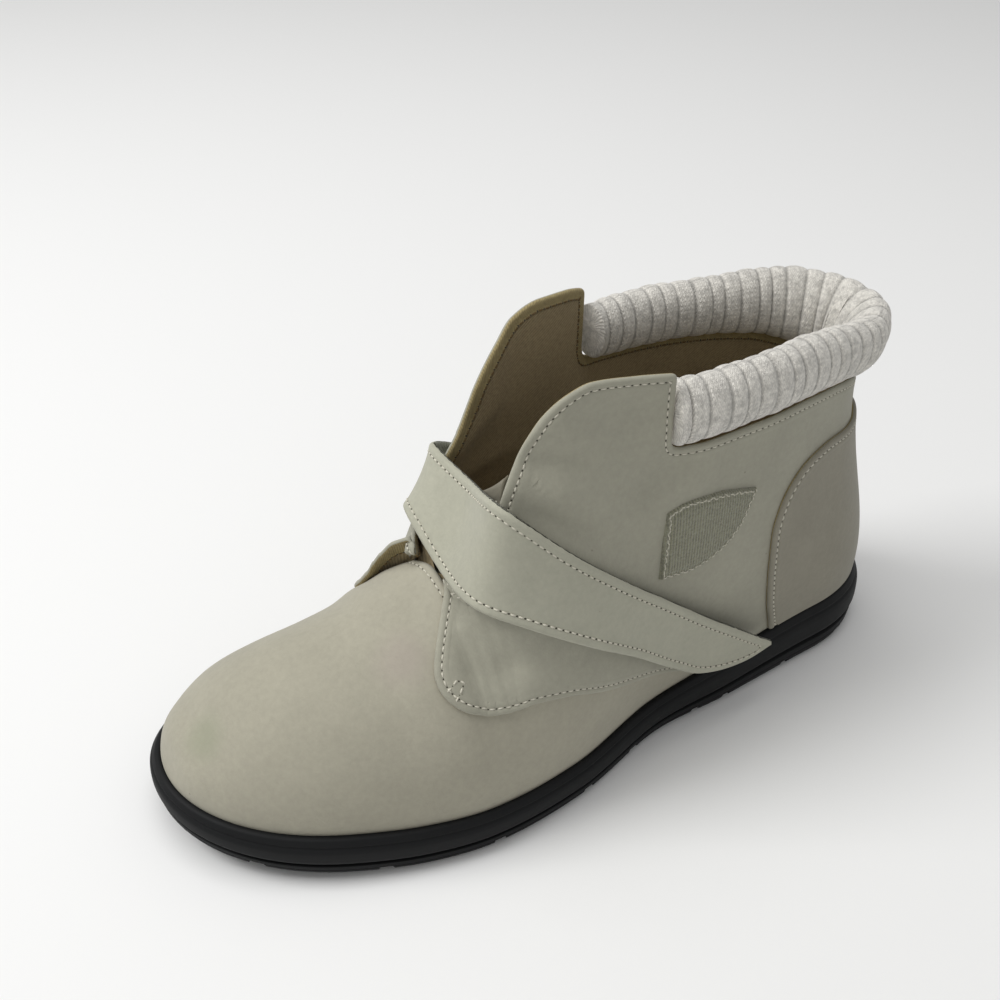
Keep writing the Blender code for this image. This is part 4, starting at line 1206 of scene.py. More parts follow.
def sheet_normals(grid, place, aim):
    """Unit normals of a grid of points, from differences along both of its ways, turned so that
    they look along the aim at one place."""
    normal = unit(np.cross(np.gradient(grid, axis=0), np.gradient(grid, axis=1)))
    return normal if normal[place] @ np.array(aim) >= 0 else -normal


def make_tongue_piece(name, materials):
    """Tongue: a padded sheet between two offset grids, thinned to a round edge at its top and
    sides, with one stitched row under its top."""
    work = Patchwork()
    grid = tongue_grid(110, 81)
    normal = sheet_normals(grid, (60, 40), (0, -1, 1))
    top = lengths(grid[:, 40])[-1] - lengths(grid[:, 40])
    half = TONGUE_WIDTH / 2
    side_gap = half - np.abs(np.linspace(-half, half, 81))
    edge = np.minimum(top[:, None], side_gap[None, :])
    thick = TONGUE_THICKNESS / 2 * round_end(edge / (1.3 * MM), 2)
    groove = 0.3 * MM * np.exp(-((top[:, None] - 4.0 * MM) / (0.5 * MM)) ** 2)
    cloth = np.stack([0 * edge + lengths(grid[:, 40])[:, None], grid[..., 0]], -1)
    work.add(grid + normal * (thick - groove)[..., None], normal, cloth, 0)
    work.add(grid - normal * thick[..., None], -normal, cloth, 1)
    row = int(np.argmin(np.abs(top - 4.0 * MM)))
    outer = grid[row] + normal[row] * (TONGUE_THICKNESS / 2 - 0.2 * MM)
    return work.build(name, materials), [(outer[6:-6], normal[row][6:-6])]


def make_strap_piece(name, materials):
    """Strap: the ruled and crowned strip with a face on each side. Its height over the strip is a
    round edge, a folded border and a stitch groove, all by distance from the edge."""
    work = Patchwork()
    along, across = 300, 81
    grid = strap_grid(along, across)
    spread, base = crowded(across), np.linspace(0, 1, across)
    grid = np.stack([sampled(row, base, spread) for row in grid])
    normal = sheet_normals(grid, (180, 40), (1, 0, 0))
    rim, _ = even_path(np.concatenate([grid[:, 0], grid[-1], grid[::-1, -1]]), RIM_STEP)
    gap, _ = nearest(grid, rim)
    rounded = round_end(gap / (1.4 * MM), 2)
    groove = 0.28 * np.exp(-((gap - 3.0 * MM) / (0.42 * MM)) ** 2)
    border = 0.16 * (1 - ease((gap - 2.6 * MM) / (1.4 * MM)))
    low = STRAP_THICKNESS * STRAP_RIM
    outer = low + (STRAP_THICKNESS - low) * rounded + (border - groove - 0.1) * MM
    inner = low * (1 - rounded)
    cloth = np.stack([lengths(grid[:, 40])[:, None] + 0 * gap,
                      np.linalg.norm(grid - grid[:, :1], axis=-1)], -1)
    work.add(grid + normal * outer[..., None], normal, cloth, 0)
    work.add(grid + normal * inner[..., None], -normal, cloth, 1)
    loop_in, up = (np.concatenate([q[:, 0], q[-1, 1:], q[-2::-1, -1], q[0, -2:0:-1]])
                   for q in (grid, normal))
    wall = np.stack([loop_in + up * low, loop_in + up * (low + 0.06 * MM)], 0)
    work.add(wall, None, np.zeros(wall.shape[:2] + (2,)), 0, closed=True)
    width = np.linalg.norm(grid[:, 0] - grid[:, -1], axis=-1)
    keep = width > 8.0 * MM
    share = np.clip(3.0 * MM / np.maximum(width, 1e-6), 0, 0.5)
    rows = np.arange(along)
    paths, ups = [], []
    for fraction in (share, 1 - share):
        column_at = np.interp(fraction, spread, np.arange(across))
        low_c = np.clip(column_at.astype(int), 0, across - 2)
        part = (column_at - low_c)[:, None]
        place = grid[rows, low_c] * (1 - part) + grid[rows, low_c + 1] * part
        out = normal[rows, low_c]
        paths.append((place + out * (STRAP_THICKNESS - 0.12 * MM))[keep])
        ups.append(out[keep])
    path = np.concatenate([paths[0], paths[1][::-1]])
    up = np.concatenate([ups[0], ups[1][::-1]])
    return work.build(name, materials), [(path, up)]


# Collar

# Mean radius of the roll's section, for the measure of cloth round it.
ROLL_RADIUS = 0.0085
# How far a rib's place varies, in ribs, and how quickly.
RIB_UNEVEN = 0.10
RIB_WAVE = 1.9


def collar_ring_grid(step, around):
    """Rings of the collar roll at even steps from the outer notch to the inner one, each an
    ellipse that leans outwards. Returns the length along the roll, the angles round it, each
    ring's middle and outward direction, its two half axes and its lean."""
    gap = CLEARANCE / SOLE_LENGTH
    spread = np.linspace(0, 1, 400) ** 1.7
    signed = np.concatenate([(LATERAL_NOTCH - gap) * spread[::-1], -(MEDIAL_NOTCH - gap) * spread[1:]])

    def frame_at(q):
        """Middle, outward direction, half height, lean and half thickness of the roll at the
        stations q, which count up on the outer side and down on the inner one."""
        s = np.abs(q)
        values = []
        for side in (LATERAL, MEDIAL):
            share = edge_share(side, s)
            foot = last(side, s, share)
            out = last_normal(side, s, share) * (1, 1, 0)
            out = unit(np.where((s < 1e-6)[:, None], (0, 1, 0), out))
            tall = column(COLLAR_FORM, 4 if side == LATERAL else 5, s)
            crest = collar_seam(side, s) + ROLL_HEIGHT * tall
            values.append((foot, out, crest[:, None]))
        foot, out, crest = (np.where((q >= 0)[:, None], *pair) for pair in zip(*values))
        crest = crest[:, 0]
        move, lean, thick = (column(COLLAR_FORM, k, s) for k in (1, 2, 3))
        base = foot[:, 2] + CLEARANCE
        half_z = (crest - base) / 2
        middle = foot + out * (move * ROLL_THICKNESS)[:, None]
        middle[:, 2] = base + half_z
        return middle, out, half_z, np.radians(lean), ROLL_THICKNESS * thick / 2

    span = lengths(frame_at(signed)[0])
    count = int(span[-1] / step)
    length = np.linspace(0, span[-1], count)
    q = np.interp(length, span, signed)
    middle, out, half_z, lean, b = frame_at(q)
    a = np.sqrt(np.clip(half_z**2 - (b * np.sin(lean)) ** 2, 1e-9, None)) / np.cos(lean)
    turn = np.linspace(0, 2 * np.pi, around + 1)[:-1]
    return length, turn, middle, out, a, b, lean


def make_knit_collar(name, material, rib, first, depth):
    """Padded rib-knit roll: the ellipse of each ring swells and sinks with the ribs, whose
    section is a raised cosine to a low power, and it closes to a point at both ends."""
    work = Patchwork()
    length, turn, middle, out, a, b, lean = collar_ring_grid(0.42 * MM, 84)
    total = length[-1]
    phase = (length - first) / rib
    phase = phase + RIB_UNEVEN * np.sin(RIB_WAVE * phase) * ease(phase)
    ribs = np.where(length < first, 1.0, np.abs(np.sin(np.pi * phase)) ** 0.42)
    seam_groove = np.exp(-((length - first) / (0.5 * MM)) ** 2)
    end = np.minimum(length, total - length)
    blunt = np.where(length < total / 2, 1.4, 0.6) * MM
    close = (1 - (1 - np.clip(end / blunt, 0, 1)) ** 2.4) ** (1 / 2.4)
    wave = 0.16 * MM * np.sin(length / (17 * MM) * 2 * np.pi) + 0.12 * MM * np.sin(length / (7.3 * MM))
    ring_fade = 0.55 + 0.45 * ease((np.cos(turn) + 1.0) / 0.9)
    swell = (-(depth * (1 - ribs))[:, None] * ring_fade - (0.6 * depth * seam_groove)[:, None]
             + wave[:, None] * ring_fade)
    big, small = a[:, None] + swell, b[:, None] + swell
    tall, wide = big * np.cos(turn), small * np.sin(turn)
    sin_lean, cos_lean = np.sin(lean)[:, None], np.cos(lean)[:, None]
    across = (tall * sin_lean + wide * cos_lean) * close[:, None]
    up = (tall * cos_lean - wide * sin_lean) * close[:, None]
    outward = across[..., None] * out[:, None] + up[..., None] * (0, 0, 1)
    cloth = np.stack([length[:, None] + 0 * across, turn * ROLL_RADIUS + 0 * across], -1)
    work.add(middle[:, None] + outward, outward, cloth, 0, closed=True)
    return work.build(name, [material])


# Sole

def side_inset(share):
    """Inset of the sole's side at a share of its height: the table's curve, with a fine line
    under the lip and two fine lines on the tread band."""
    rows = np.asarray(SOLE_SIDE)
    steps = steady(share, rows[:, 0], rows[:, 1])
    for place, deep, wide in ((0.845, 0.30, 0.014), (0.18, 0.16, 0.012)):
        steps = steps + deep * np.exp(-((share - place) / wide) ** 2)
    return steps * SIDE_STEP


def groove_depth(s):
    """Depth of the grooves between the lugs: flat floors with steep walls."""
    gap = np.abs(np.asarray(s)[..., None] - np.asarray(GROOVES)).min(-1) * SOLE_LENGTH
    return GROOVE_DEPTH * (1 - ease((gap - GROOVE_WIDTH / 2 + 0.2 * MM) / (0.4 * MM)))


def make_sole(name, material):
    """Cup sole: the side profile carried round the outline, the lip and the cup inside it, and a
    tread with grooves."""
    work = Patchwork()
    stations = crowded(420)
    marks = np.array([-1.12, -1.04, -0.96, -0.88, 0.88, 0.96, 1.04, 1.12]) * GROOVE_WIDTH / 2
    near = (np.asarray(GROOVES)[:, None] + marks / SOLE_LENGTH).ravel()
    stations = np.unique(np.concatenate([stations, near]))
    bottom, top = sole_bottom(stations), sole_top(stations)
    cut = bottom + groove_depth(stations)
    share = np.unique(np.concatenate([np.linspace(0, 1, 56), [0.29, 0.30, 0.31, 0.32, 0.37, 0.38,
                                                             0.39, 0.40, 0.97, 0.985]]))
    inset = side_inset(share)
    inset = inset + 0.5 * MM * np.clip((share - 0.965) / 0.035, 0, 1) ** 2
    for side in (LATERAL, MEDIAL):
        rings = []
        for h, i in zip(share, inset):
            centre, half, y = outline(stations, i)
            z = np.maximum(bottom + (top - bottom) * h, cut)
            rings.append(np.stack([centre + side * half, y, z], -1))
        for i, rise in ((LIP_WIDTH - 0.6 * MM, 0.0), (LIP_WIDTH - 0.05 * MM, -0.25 * MM),
                        (LIP_WIDTH, -0.6 * MM), (LIP_WIDTH, -LIP_DEPTH)):
            centre, half, y = outline(stations, i)
            rings.append(np.stack([centre + side * half, y, top + rise], -1))
        grid = np.stack(rings, 1)
        centre, half, y = outline(stations, 0)
        away = grid - np.stack([centre, y * 0.6, 0 * y + 0.012], -1)[:, None]
        work.add(grid)
        work.turn_last(grid, 20, away[:-1, 20])
    across = np.linspace(-1, 1, 11)
    for i, z, up in ((inset[0], cut, -1), (LIP_WIDTH, top - LIP_DEPTH, 1)):
        centre, half, y = outline(stations, i)
        deck = [centre[:, None] + half[:, None] * across, y[:, None] + 0 * across,
                z[:, None] + 0 * across]
        work.add(np.stack(deck, -1), (0, 0, up))
    return work.build(name, [material])


def make_footbed(name, material):
    """Insole: a flat pad with a rounded rim, slightly dished at the heel."""
    work = Patchwork()
    inset = LIP_WIDTH + WALL + 3 * CLEARANCE
    stations = crowded(150)
    across = np.sin(np.pi / 2 * np.linspace(-1, 1, 45))
    centre, half, y = outline(stations, inset)
    x = centre[:, None] + half[:, None] * across
    rim = np.minimum(half[:, None] * (1 - np.abs(across)),
                     np.minimum(stations, 1 - stations)[:, None] * SOLE_LENGTH)
    drop = 1.1 * MM * (1 - round_end(rim / (1.2 * MM), 2))
    dish = 0.6 * MM * np.exp(-((stations[:, None] - 0.13) / 0.09) ** 2) * (1 - across**2)
    base = tray(stations)[:, None] + CLEARANCE
    top = np.stack([x, y[:, None] + 0 * x, base + INSOLE_THICKNESS - drop - dish], -1)
    under = np.stack([x, y[:, None] + 0 * x, base + 0 * x], -1)
    cloth = top[..., :2]
    work.add(top, (0, 0, 1), cloth, 0)
    work.add(under, (0, 0, -1), cloth, 0)
    for end in (0, -1):
        wall = np.stack([top[:, end], under[:, end]], 1)
        side = 1 if end else -1
        work.add(wall, (side, 0, 0), wall[..., :2], 0)
    return work.build(name, [material])


# Materials

# The wave texture's scale for bands one metre apart.
WAVES = 0.314


def add_node(tree, kind, inputs=None, out=0, **settings):
    """Adds a node with its settings, values and links, and returns one of its outputs."""
    made = tree.nodes.new("ShaderNode" + kind)
    for key, value in settings.items():
        setattr(made, key, value)
    for key, value in (inputs or {}).items():
        if isinstance(value, bpy.types.NodeSocket):
            tree.links.new(value, made.inputs[key])
        else:
            made.inputs[key].default_value = value
    return made.outputs[out]


def new_material(name, roughness, specular, sheen=0.0, sheen_roughness=0.5):
    """Material with a Principled shader; returns it and a function that adds nodes to it."""
    material = bpy.data.materials.new(name)
    material.use_nodes = True
    values = {"Roughness": roughness, "IOR": 1.5, "Specular IOR Level": specular,
              "Sheen Weight": sheen, "Sheen Roughness": sheen_roughness}
    for key, value in values.items():
        material.node_tree.nodes["Principled BSDF"].inputs[key].default_value = value
    return material, partial(add_node, material.node_tree)


def finish(material, tone, height=None, strength=0.0, distance=0.0):
    """Gives a material its colour, which is a value or an output, and its relief."""
    tree = material.node_tree
    shader = tree.nodes["Principled BSDF"]
    if isinstance(tone, bpy.types.NodeSocket):
        tree.links.new(tone, shader.inputs["Base Color"])
    else:
        shader.inputs["Base Color"].default_value = tone
    if height is not None:
        bump = add_node(tree, "Bump", {"Height": height, "Strength": strength, "Distance": distance})
        tree.links.new(bump, shader.inputs["Normal"])
    return material


def shade(color, factor=1):
    """A colour with its alpha, made darker or lighter by a factor."""
    return tuple(min(c * factor, 1) for c in color) + (1,)


def nubuck(name, color, marks=()):
    """Nubuck: cow leather buffed on its grain side to a short nap. It is matt with a faint
    sheen, cloudy over a centimetre or two where the nap lies different ways, with fine pores
    and a few dark specks. Marks are stains: place, reach, colour and strength."""
    material, add = new_material(name, 0.86, 0.28, 0.18, 0.45)
    place = add("TexCoord", out="Object")
    cloud = add("TexNoise", {"Vector": place, "Scale": 55.0, "Detail": 4.0, "Roughness": 0.62})
    nap = add("TexNoise", {"Vector": place, "Scale": 520.0, "Detail": 3.0, "Roughness": 0.65})
    pore = add("TexVoronoi", {"Vector": place, "Scale": 1150.0}, "Distance")
    speck = add("TexVoronoi", {"Vector": place, "Scale": 165.0}, "Distance")
    cloudy = add("MapRange", {0: cloud, 1: 0.32, 2: 0.68})
    napped = add("MapRange", {0: nap, 1: 0.3, 2: 0.7})
    tone = add("Mix", {0: cloudy, 6: shade(color, 0.955), 7: shade(color, 1.035)}, 2,
               data_type="RGBA")
    fine = add("Mix", {0: napped, 6: (0.95, 0.95, 0.95, 1), 7: (1.045, 1.045, 1.04, 1)}, 2,
               data_type="RGBA")
    tone = add("Mix", {0: 1.0, 6: tone, 7: fine}, 2, data_type="RGBA", blend_type="MULTIPLY")
    near = add("Math", {0: speck, 1: 0.055}, operation="LESS_THAN")
    rare = add("SeparateColor", {0: speck.node.outputs["Color"]})
    rare = add("Math", {0: rare, 1: 0.95}, operation="GREATER_THAN")
    dotted = add("Math", {0: near, 1: rare}, operation="MULTIPLY")
    dotted = add("Math", {0: dotted, 1: 0.35}, operation="MULTIPLY")
    tone = add("Mix", {0: dotted, 6: tone, 7: (0.07, 0.055, 0.04, 1)}, 2, data_type="RGBA")
    for spot, reach, stain, strength in marks:
        far = add("VectorMath", {0: place, 1: tuple(spot)}, "Value", operation="DISTANCE")
        ragged = add("Math", {0: cloud, 1: 0.5 * reach, 2: far}, operation="MULTIPLY_ADD")
        inside = add("MapRange", {0: ragged, 1: 1.25 * reach, 2: 0.45 * reach, 3: 0.0, 4: strength},
                     interpolation_type="SMOOTHSTEP")
        tone = add("Mix", {0: inside, 6: tone, 7: shade(stain)}, 2, data_type="RGBA")
    height = add("Math", {0: pore, 1: 0.6, 2: nap}, operation="MULTIPLY_ADD")
    return finish(material, tone, height, 0.4, 0.00014)


def twill(name, color, pitch):
    """Lining twill: polyester cloth with diagonal ribs at the given pitch, matt, slightly slubby,
    with painted shade between the ribs.
    """
    material, add = new_material(name, 0.92, 0.2, 0.1, 0.5)
    cloth = add("UVMap", uv_map="cloth")
    turned = add("Mapping", {0: cloth, "Rotation": (0, 0, 0.9)})
    wave = add("TexWave", {"Vector": turned, "Scale": WAVES / pitch, "Distortion": 0.6,
                           "Detail": 2.0, "Detail Scale": 2.0}, "Fac")
    place = add("TexCoord", out="Object")
    slub = add("TexNoise", {"Vector": place, "Scale": 900.0, "Detail": 2.0})
    cloud = add("TexNoise", {"Vector": place, "Scale": 45.0, "Detail": 3.0})
    # The ribs' wave darkens the cloth between them as painted shade; the slubs and clouds are the
    # cloth's own uneven tone.
    mixed = add("Math", {0: wave, 1: 0.5, 2: slub}, operation="MULTIPLY_ADD")
    level = add("Math", {0: cloud, 1: 0.5, 2: mixed}, operation="MULTIPLY_ADD")
    level = add("MapRange", {0: level, 1: 0.55, 2: 1.35})
    tone = add("Mix", {0: level, 6: shade(color, 0.70), 7: shade(color, 1.2)}, 2,
               data_type="RGBA")
    return finish(material, tone, mixed, 0.6, 0.0003)


def rib_knit(name, color, wale, rib, first):
    """Acrylic and wool rib knit in heather off-white: loops in columns of the wale width round
    the roll, with grey and beige fibres among the light ones and painted shade between the
    loops and in the grooves."""
    material, add = new_material(name, 0.95, 0.15, 0.35, 0.6)
    cloth = add("UVMap", uv_map="cloth")
    along = add("SeparateXYZ", {0: cloth})
    lane = add("Math", {0: along, 1: np.pi / wale}, operation="MULTIPLY")
    for operation in ("SINE", "ABSOLUTE"):
        lane = add("Math", {0: lane}, operation=operation)
    slope = add("Math", {0: lane, 1: 1.1 * wale, 2: along.node.outputs[1]},
                operation="MULTIPLY_ADD")
    loops = add("Math", {0: slope, 1: 2 * np.pi / (0.9 * wale)}, operation="MULTIPLY")
    loops = add("Math", {0: loops}, operation="SINE")
    place = add("TexCoord", out="Object")
    fibre = add("TexNoise", {"Vector": place, "Scale": 1300.0, "Detail": 3.0, "Roughness": 0.7})
    heather = add("TexNoise", {"Vector": place, "Scale": 420.0, "Detail": 3.0, "Roughness": 0.75})
    streak = add("MapRange", {0: heather, 1: 0.36, 2: 0.62})
    tone = add("Mix", {0: streak, 6: shade(color, 0.66), 7: shade(color)}, 2, data_type="RGBA")
    # Lighter on the raised loops and darker between them: painted shade, over the fibres' own uneven
    # tone.
    raised = add("Math", {0: loops, 1: 0.24, 2: fibre}, operation="MULTIPLY_ADD")
    level = add("MapRange", {0: raised, 1: 0.2, 2: 0.75, 3: 0.86, 4: 1.06})
    tone = add("Mix", {0: 1.0, 6: tone, 7: level}, 2, data_type="RGBA", blend_type="MULTIPLY")
    phase = add("Math", {0: along, 1: np.pi / rib, 2: -np.pi * first / rib},
                operation="MULTIPLY_ADD")
    uneven = add("Math", {0: phase, 1: RIB_WAVE / np.pi}, operation="MULTIPLY")
    uneven = add("Math", {0: uneven}, operation="SINE")
    phase = add("Math", {0: uneven, 1: RIB_UNEVEN * np.pi, 2: phase}, operation="MULTIPLY_ADD")
    for operation in ("SINE", "ABSOLUTE"):
        phase = add("Math", {0: phase}, operation=operation)
    shadow = add("MapRange", {0: phase, 1: 0.0, 2: 0.38, 3: 0.55, 4: 1.0})
    tone = add("Mix", {0: 1.0, 6: tone, 7: shadow}, 2, data_type="RGBA", blend_type="MULTIPLY")
    return finish(material, tone, raised, 0.6, 0.0006)


def black_rubber(name, color):
    """Moulded rubber: matt black from the mould's fine blast, a little dust on its face."""
    material, add = new_material(name, 0.62, 0.22)
    place = add("TexCoord", out="Object")
    fine = add("TexNoise", {"Vector": place, "Scale": 1800.0, "Detail": 2.0})
    dust = add("TexNoise", {"Vector": place, "Scale": 120.0, "Detail": 5.0, "Roughness": 0.7})
    level = add("MapRange", {0: dust, 1: 0.42, 2: 0.75, 4: 0.3})
    tone = add("Mix", {0: level, 6: shade(color), 7: shade(color, 1.7)}, 2, data_type="RGBA")
    return finish(material, tone, fine, 0.25, 0.0001)


def loop_tape(name, color):
    """Nylon loop tape: a mat of fine tangled loops over a woven base, with painted shade between the
    loops.
    """
    material, add = new_material(name, 0.95, 0.2, 0.4, 0.6)
    place = add("TexCoord", out="Object")
    tangle = add("TexVoronoi", {"Vector": place, "Scale": 950.0}, "Distance")
    fuzz = add("TexNoise", {"Vector": place, "Scale": 1500.0, "Detail": 4.0, "Roughness": 0.7,
                            "Distortion": 1.5})
    cloth = add("UVMap", uv_map="cloth")
    rows = add("TexWave", {"Vector": cloth, "Scale": WAVES / (1.1 * MM), "Distortion": 0.8,
                           "Detail": 2.0}, "Fac")
    matted = add("Math", {0: tangle, 1: 0.4, 2: fuzz}, operation="MULTIPLY_ADD")
    mixed = add("Math", {0: rows, 1: 0.35, 2: matted}, operation="MULTIPLY_ADD")
    # Tone follows the relief of the loops and rows: painted shade between the loops, with the fuzz's
    # own uneven tone.
    level = add("MapRange", {0: mixed, 1: 0.5, 2: 1.05})
    tone = add("Mix", {0: level, 6: shade(color, 0.6), 7: shade(color, 1.35)}, 2,
               data_type="RGBA")
    return finish(material, tone, mixed, 0.9, 0.0006)


def sewing_thread(name, color):
    """Twisted polyester sewing thread: satin, with fine plies across."""
    material, add = new_material(name, 0.6, 0.35)
    place = add("TexCoord", out="Object")
    ply = add("TexNoise", {"Vector": place, "Scale": 3000.0, "Detail": 1.0})
    return finish(material, shade(color), ply, 0.4, 0.0001)


def plain_floor(name, color):
    """Matt painted studio floor."""
    return finish(new_material(name, 0.9, 0.1)[0], shade(color))


# Settings

def color_setting(name, description, code):
    """Colour property with its default written as an sRGB hex value."""
    return bpy.props.FloatVectorProperty(name=name, description=description, size=3,
                                         subtype="COLOR", min=0, max=1, default=linear(code))


def size_setting(name, description, default, low, high):
    """Length property with its default and limits in metres."""
    return bpy.props.FloatProperty(name=name, description=description, default=default,
                                   unit="LENGTH", min=low, max=high)


class BootColors(bpy.types.PropertyGroup):
    """Colours of the boot's materials."""
    vamp: color_setting("Vamp", "Nubuck of the vamp", "#a39f8f")
    quarter: color_setting("Quarters", "Nubuck of both quarters", "#9f9d8e")
    counter: color_setting("Back panel", "Nubuck of the back panel", "#8d897b")
    strap: color_setting("Strap", "Nubuck of the strap", "#a9a898")
    tongue: color_setting("Tongue", "Nubuck of the tongue", "#7d7868")
    lining: color_setting("Lining", "Twill inside the boot", "#97886a")
    hook: color_setting("Strap underside", "Hook tape under the strap", "#7f8071")
    knit: color_setting("Knit", "Light fibres of the collar's rib knit", "#e9e5dc")
    tape: color_setting("Loop patch", "Loops of the fastener patch", "#807f69")
    edge: color_setting("Edge tape", "Tape on the lining side of the quarters' edge", "#9a8c66")
    seam: color_setting("Lining thread", "Brown thread inside", "#6b5836")
    # Thread colour: the thread's own light tone, made lighter still as a painted highlight on the
    # stitches.
    thread: color_setting("Thread", "Sewing thread", "#cbc7b8")
    # Colour of the painted shade inside the needle holes, given to the dark beads between stitches.
    hole: color_setting("Needle holes", "Shade inside the needle holes", "#3d392f")
    rubber: color_setting("Sole", "Rubber of the sole", "#0f1011")
    stain: color_setting("Stain", "Greenish stain at the toe", "#8f927c")
    tint: color_setting("Tint", "Mauve tint on the vamp", "#a2958f")
    floor: color_setting("Floor", "Studio floor", "#ededec")


class BootSizes(bpy.types.PropertyGroup):
    """Sizes of the boot's trim."""
    stitch: bpy.props.FloatProperty(name="Stitch pitch", description="Length of a stitch with its "
                                    "gap, in millimetres", default=2.6, min=1, max=8)
    rib: size_setting("Rib pitch", "Width of a rib of the collar", 6.2 * MM, 0.001, 0.02)
    band: size_setting("First band", "Plain band before the first rib", 4.2 * MM, 0.001, 0.02)
    rib_depth: size_setting("Rib depth", "Depth between the ribs", 1.0 * MM, 0, 0.004)
    wale: size_setting("Wale width", "Width of one column of loops", 1.45 * MM, 0.0005, 0.005)
    twill: size_setting("Twill pitch", "Distance between two ribs of the lining", 0.9 * MM,
                        0.0003, 0.005)


def colors():
    """The scene's colour settings."""
    return bpy.context.scene.boot_colors


def sizes():
    """The scene's size settings."""
    return bpy.context.scene.boot_sizes


def finish_named(key, maker, *values):
    """A material made once and then shared under its name."""
    found = bpy.data.materials.get(key)
    return found or maker(key, *values)


def leather(word, color, marks=()):
    """Nubuck of a panel, under its own name."""
    return finish_named("nubuck_" + word, nubuck, color, marks)


def lining_cloth():
    """Shared lining twill."""
    return finish_named("polyester_twill", twill, colors().lining, sizes().twill)


def edge_tape():
    """Shared tape on the lining side of the edges."""
    return finish_named("cotton_edge_tape", twill, colors().edge, 0.6 * MM)


def thread_pair():
    """Shared thread, and the painted shade of the needle holes."""
    return (finish_named("sewing_thread", sewing_thread, colors().thread),
            finish_named("needle_hole", sewing_thread, colors().hole))


def sew(lines, name, slot, threads=None, **ways):
    """Sews rows on a piece, at the set pitch unless another is given."""
    rows = stitches(lines, name, *(threads or thread_pair()), **{"pitch": sizes().stitch} | ways)
    settle(rows, slot)


# Operators

class BOOT_OT_sole(bpy.types.Operator):
    """Make the cup sole with its lip, side bands and grooved tread"""
    bl_idname = "boot.sole"
    bl_label = "Cup sole"

    def execute(self, context):
        rubber = finish_named("moulded_rubber", black_rubber, colors().rubber)
        settle(make_sole("sole_cup", rubber), "sole_rubber", "outsole")
        return {"FINISHED"}


class BOOT_OT_insole(bpy.types.Operator):
    """Make the insole pad"""
    bl_idname = "boot.insole"
    bl_label = "Insole"

    def execute(self, context):
        settle(make_footbed("insole_pad", lining_cloth()), "insole_fabric", "insole")
        return {"FINISHED"}


class BOOT_OT_vamp(bpy.types.Operator):
    """Make the vamp with its stitched throat edge"""
    bl_idname = "boot.vamp"
    bl_label = "Vamp"

    def execute(self, context):
        stain_at = last(LATERAL, np.array([0.954]), np.array([0.86]))[0]
        tint_at = last(LATERAL, np.array([0.743]), np.array([0.75]))[0]
        marks = [(stain_at, 0.011, colors().stain, 0.55),
                 (tint_at, 0.013, colors().tint, 0.35)]
        skin = leather("vamp", colors().vamp, marks)
        piece, lines = make_vamp("vamp", [skin, lining_cloth(), edge_tape()])
        settle(piece, "upper_nubuck", "upper")
        sew(lines, "vamp_stitches", "upper_nubuck")
        return {"FINISHED"}


class BOOT_OT_quarters(bpy.types.Operator):
    """Make both quarters with their folded edges, folds and stitches, and the lining"""
    bl_idname = "boot.quarters"
    bl_label = "Quarters and lining"

    def execute(self, context):
        skin = leather("quarter", colors().quarter)
        for side, word in ((LATERAL, "outer"), (MEDIAL, "inner")):
            piece, line, tape_line = make_quarter(side, f"quarter_{word}",
                                                  [skin, lining_cloth(), edge_tape()])
            settle(piece, "upper_nubuck", "upper")
            settle(make_lining(side, f"lining_{word}", lining_cloth()), "upper_nubuck", "upper")
            t = np.linspace(0, len(LOBE_BOX) - 1, 80)
            s, v = (np.interp(t, np.arange(len(q)), q) for q in np.array(LOBE_BOX).T)
            arch = (on_last(side, s, v, quarter_height(side, s, v)), last_normal(side, s, v))
            sew([line, arch], f"quarter_stitches_{word}", "upper_nubuck")
            brown = finish_named("lining_thread", sewing_thread, colors().seam)
            sew([tape_line], f"lining_stitches_{word}", "upper_nubuck", (brown, thread_pair()[1]))
        return {"FINISHED"}


class BOOT_OT_tongue(bpy.types.Operator):
    """Make the tongue"""
    bl_idname = "boot.tongue"
    bl_label = "Tongue"

    def execute(self, context):
        skin = leather("tongue", colors().tongue)
        piece, lines = make_tongue_piece("tongue_pad", [skin, lining_cloth()])
        settle(piece, "tongue_nubuck", "tongue")
        sew(lines, "tongue_stitches", "tongue_nubuck")
        return {"FINISHED"}


class BOOT_OT_counter(bpy.types.Operator):
    """Make the back panel over the heel"""
    bl_idname = "boot.counter"
    bl_label = "Back panel"

    def execute(self, context):
        skin = leather("back", colors().counter)
        piece, lines = make_counter_panel("counter_panel", [skin, lining_cloth(), edge_tape()])
        settle(piece, "counter_nubuck", "counter")
        sew(lines, "counter_stitches", "counter_nubuck")
        return {"FINISHED"}


class BOOT_OT_patch(bpy.types.Operator):
    """Make the loop patch on the outer quarter"""
    bl_idname = "boot.patch"
    bl_label = "Loop patch"

    def execute(self, context):
        tape = finish_named("nylon_loop_tape", loop_tape, colors().tape)
        piece, lines = make_loop_patch("loop_patch", tape)
        settle(piece, "loop_tape", "fastener_patch")
        sew(lines, "patch_stitches", "loop_tape", pitch=1.6, length=1.35, thick=0.42,
            gap_holes=False)
        return {"FINISHED"}


class BOOT_OT_collar(bpy.types.Operator):
    """Make the padded rib-knit collar"""
    bl_idname = "boot.collar"
    bl_label = "Knit collar"

    def execute(self, context):
        size = sizes()
        knit = finish_named("heather_rib_knit", rib_knit, colors().knit, size.wale, size.rib,
                            size.band)
        piece = make_knit_collar("knit_collar", knit, size.rib, size.band, size.rib_depth)
        settle(piece, "collar_knit", "collar")
        return {"FINISHED"}


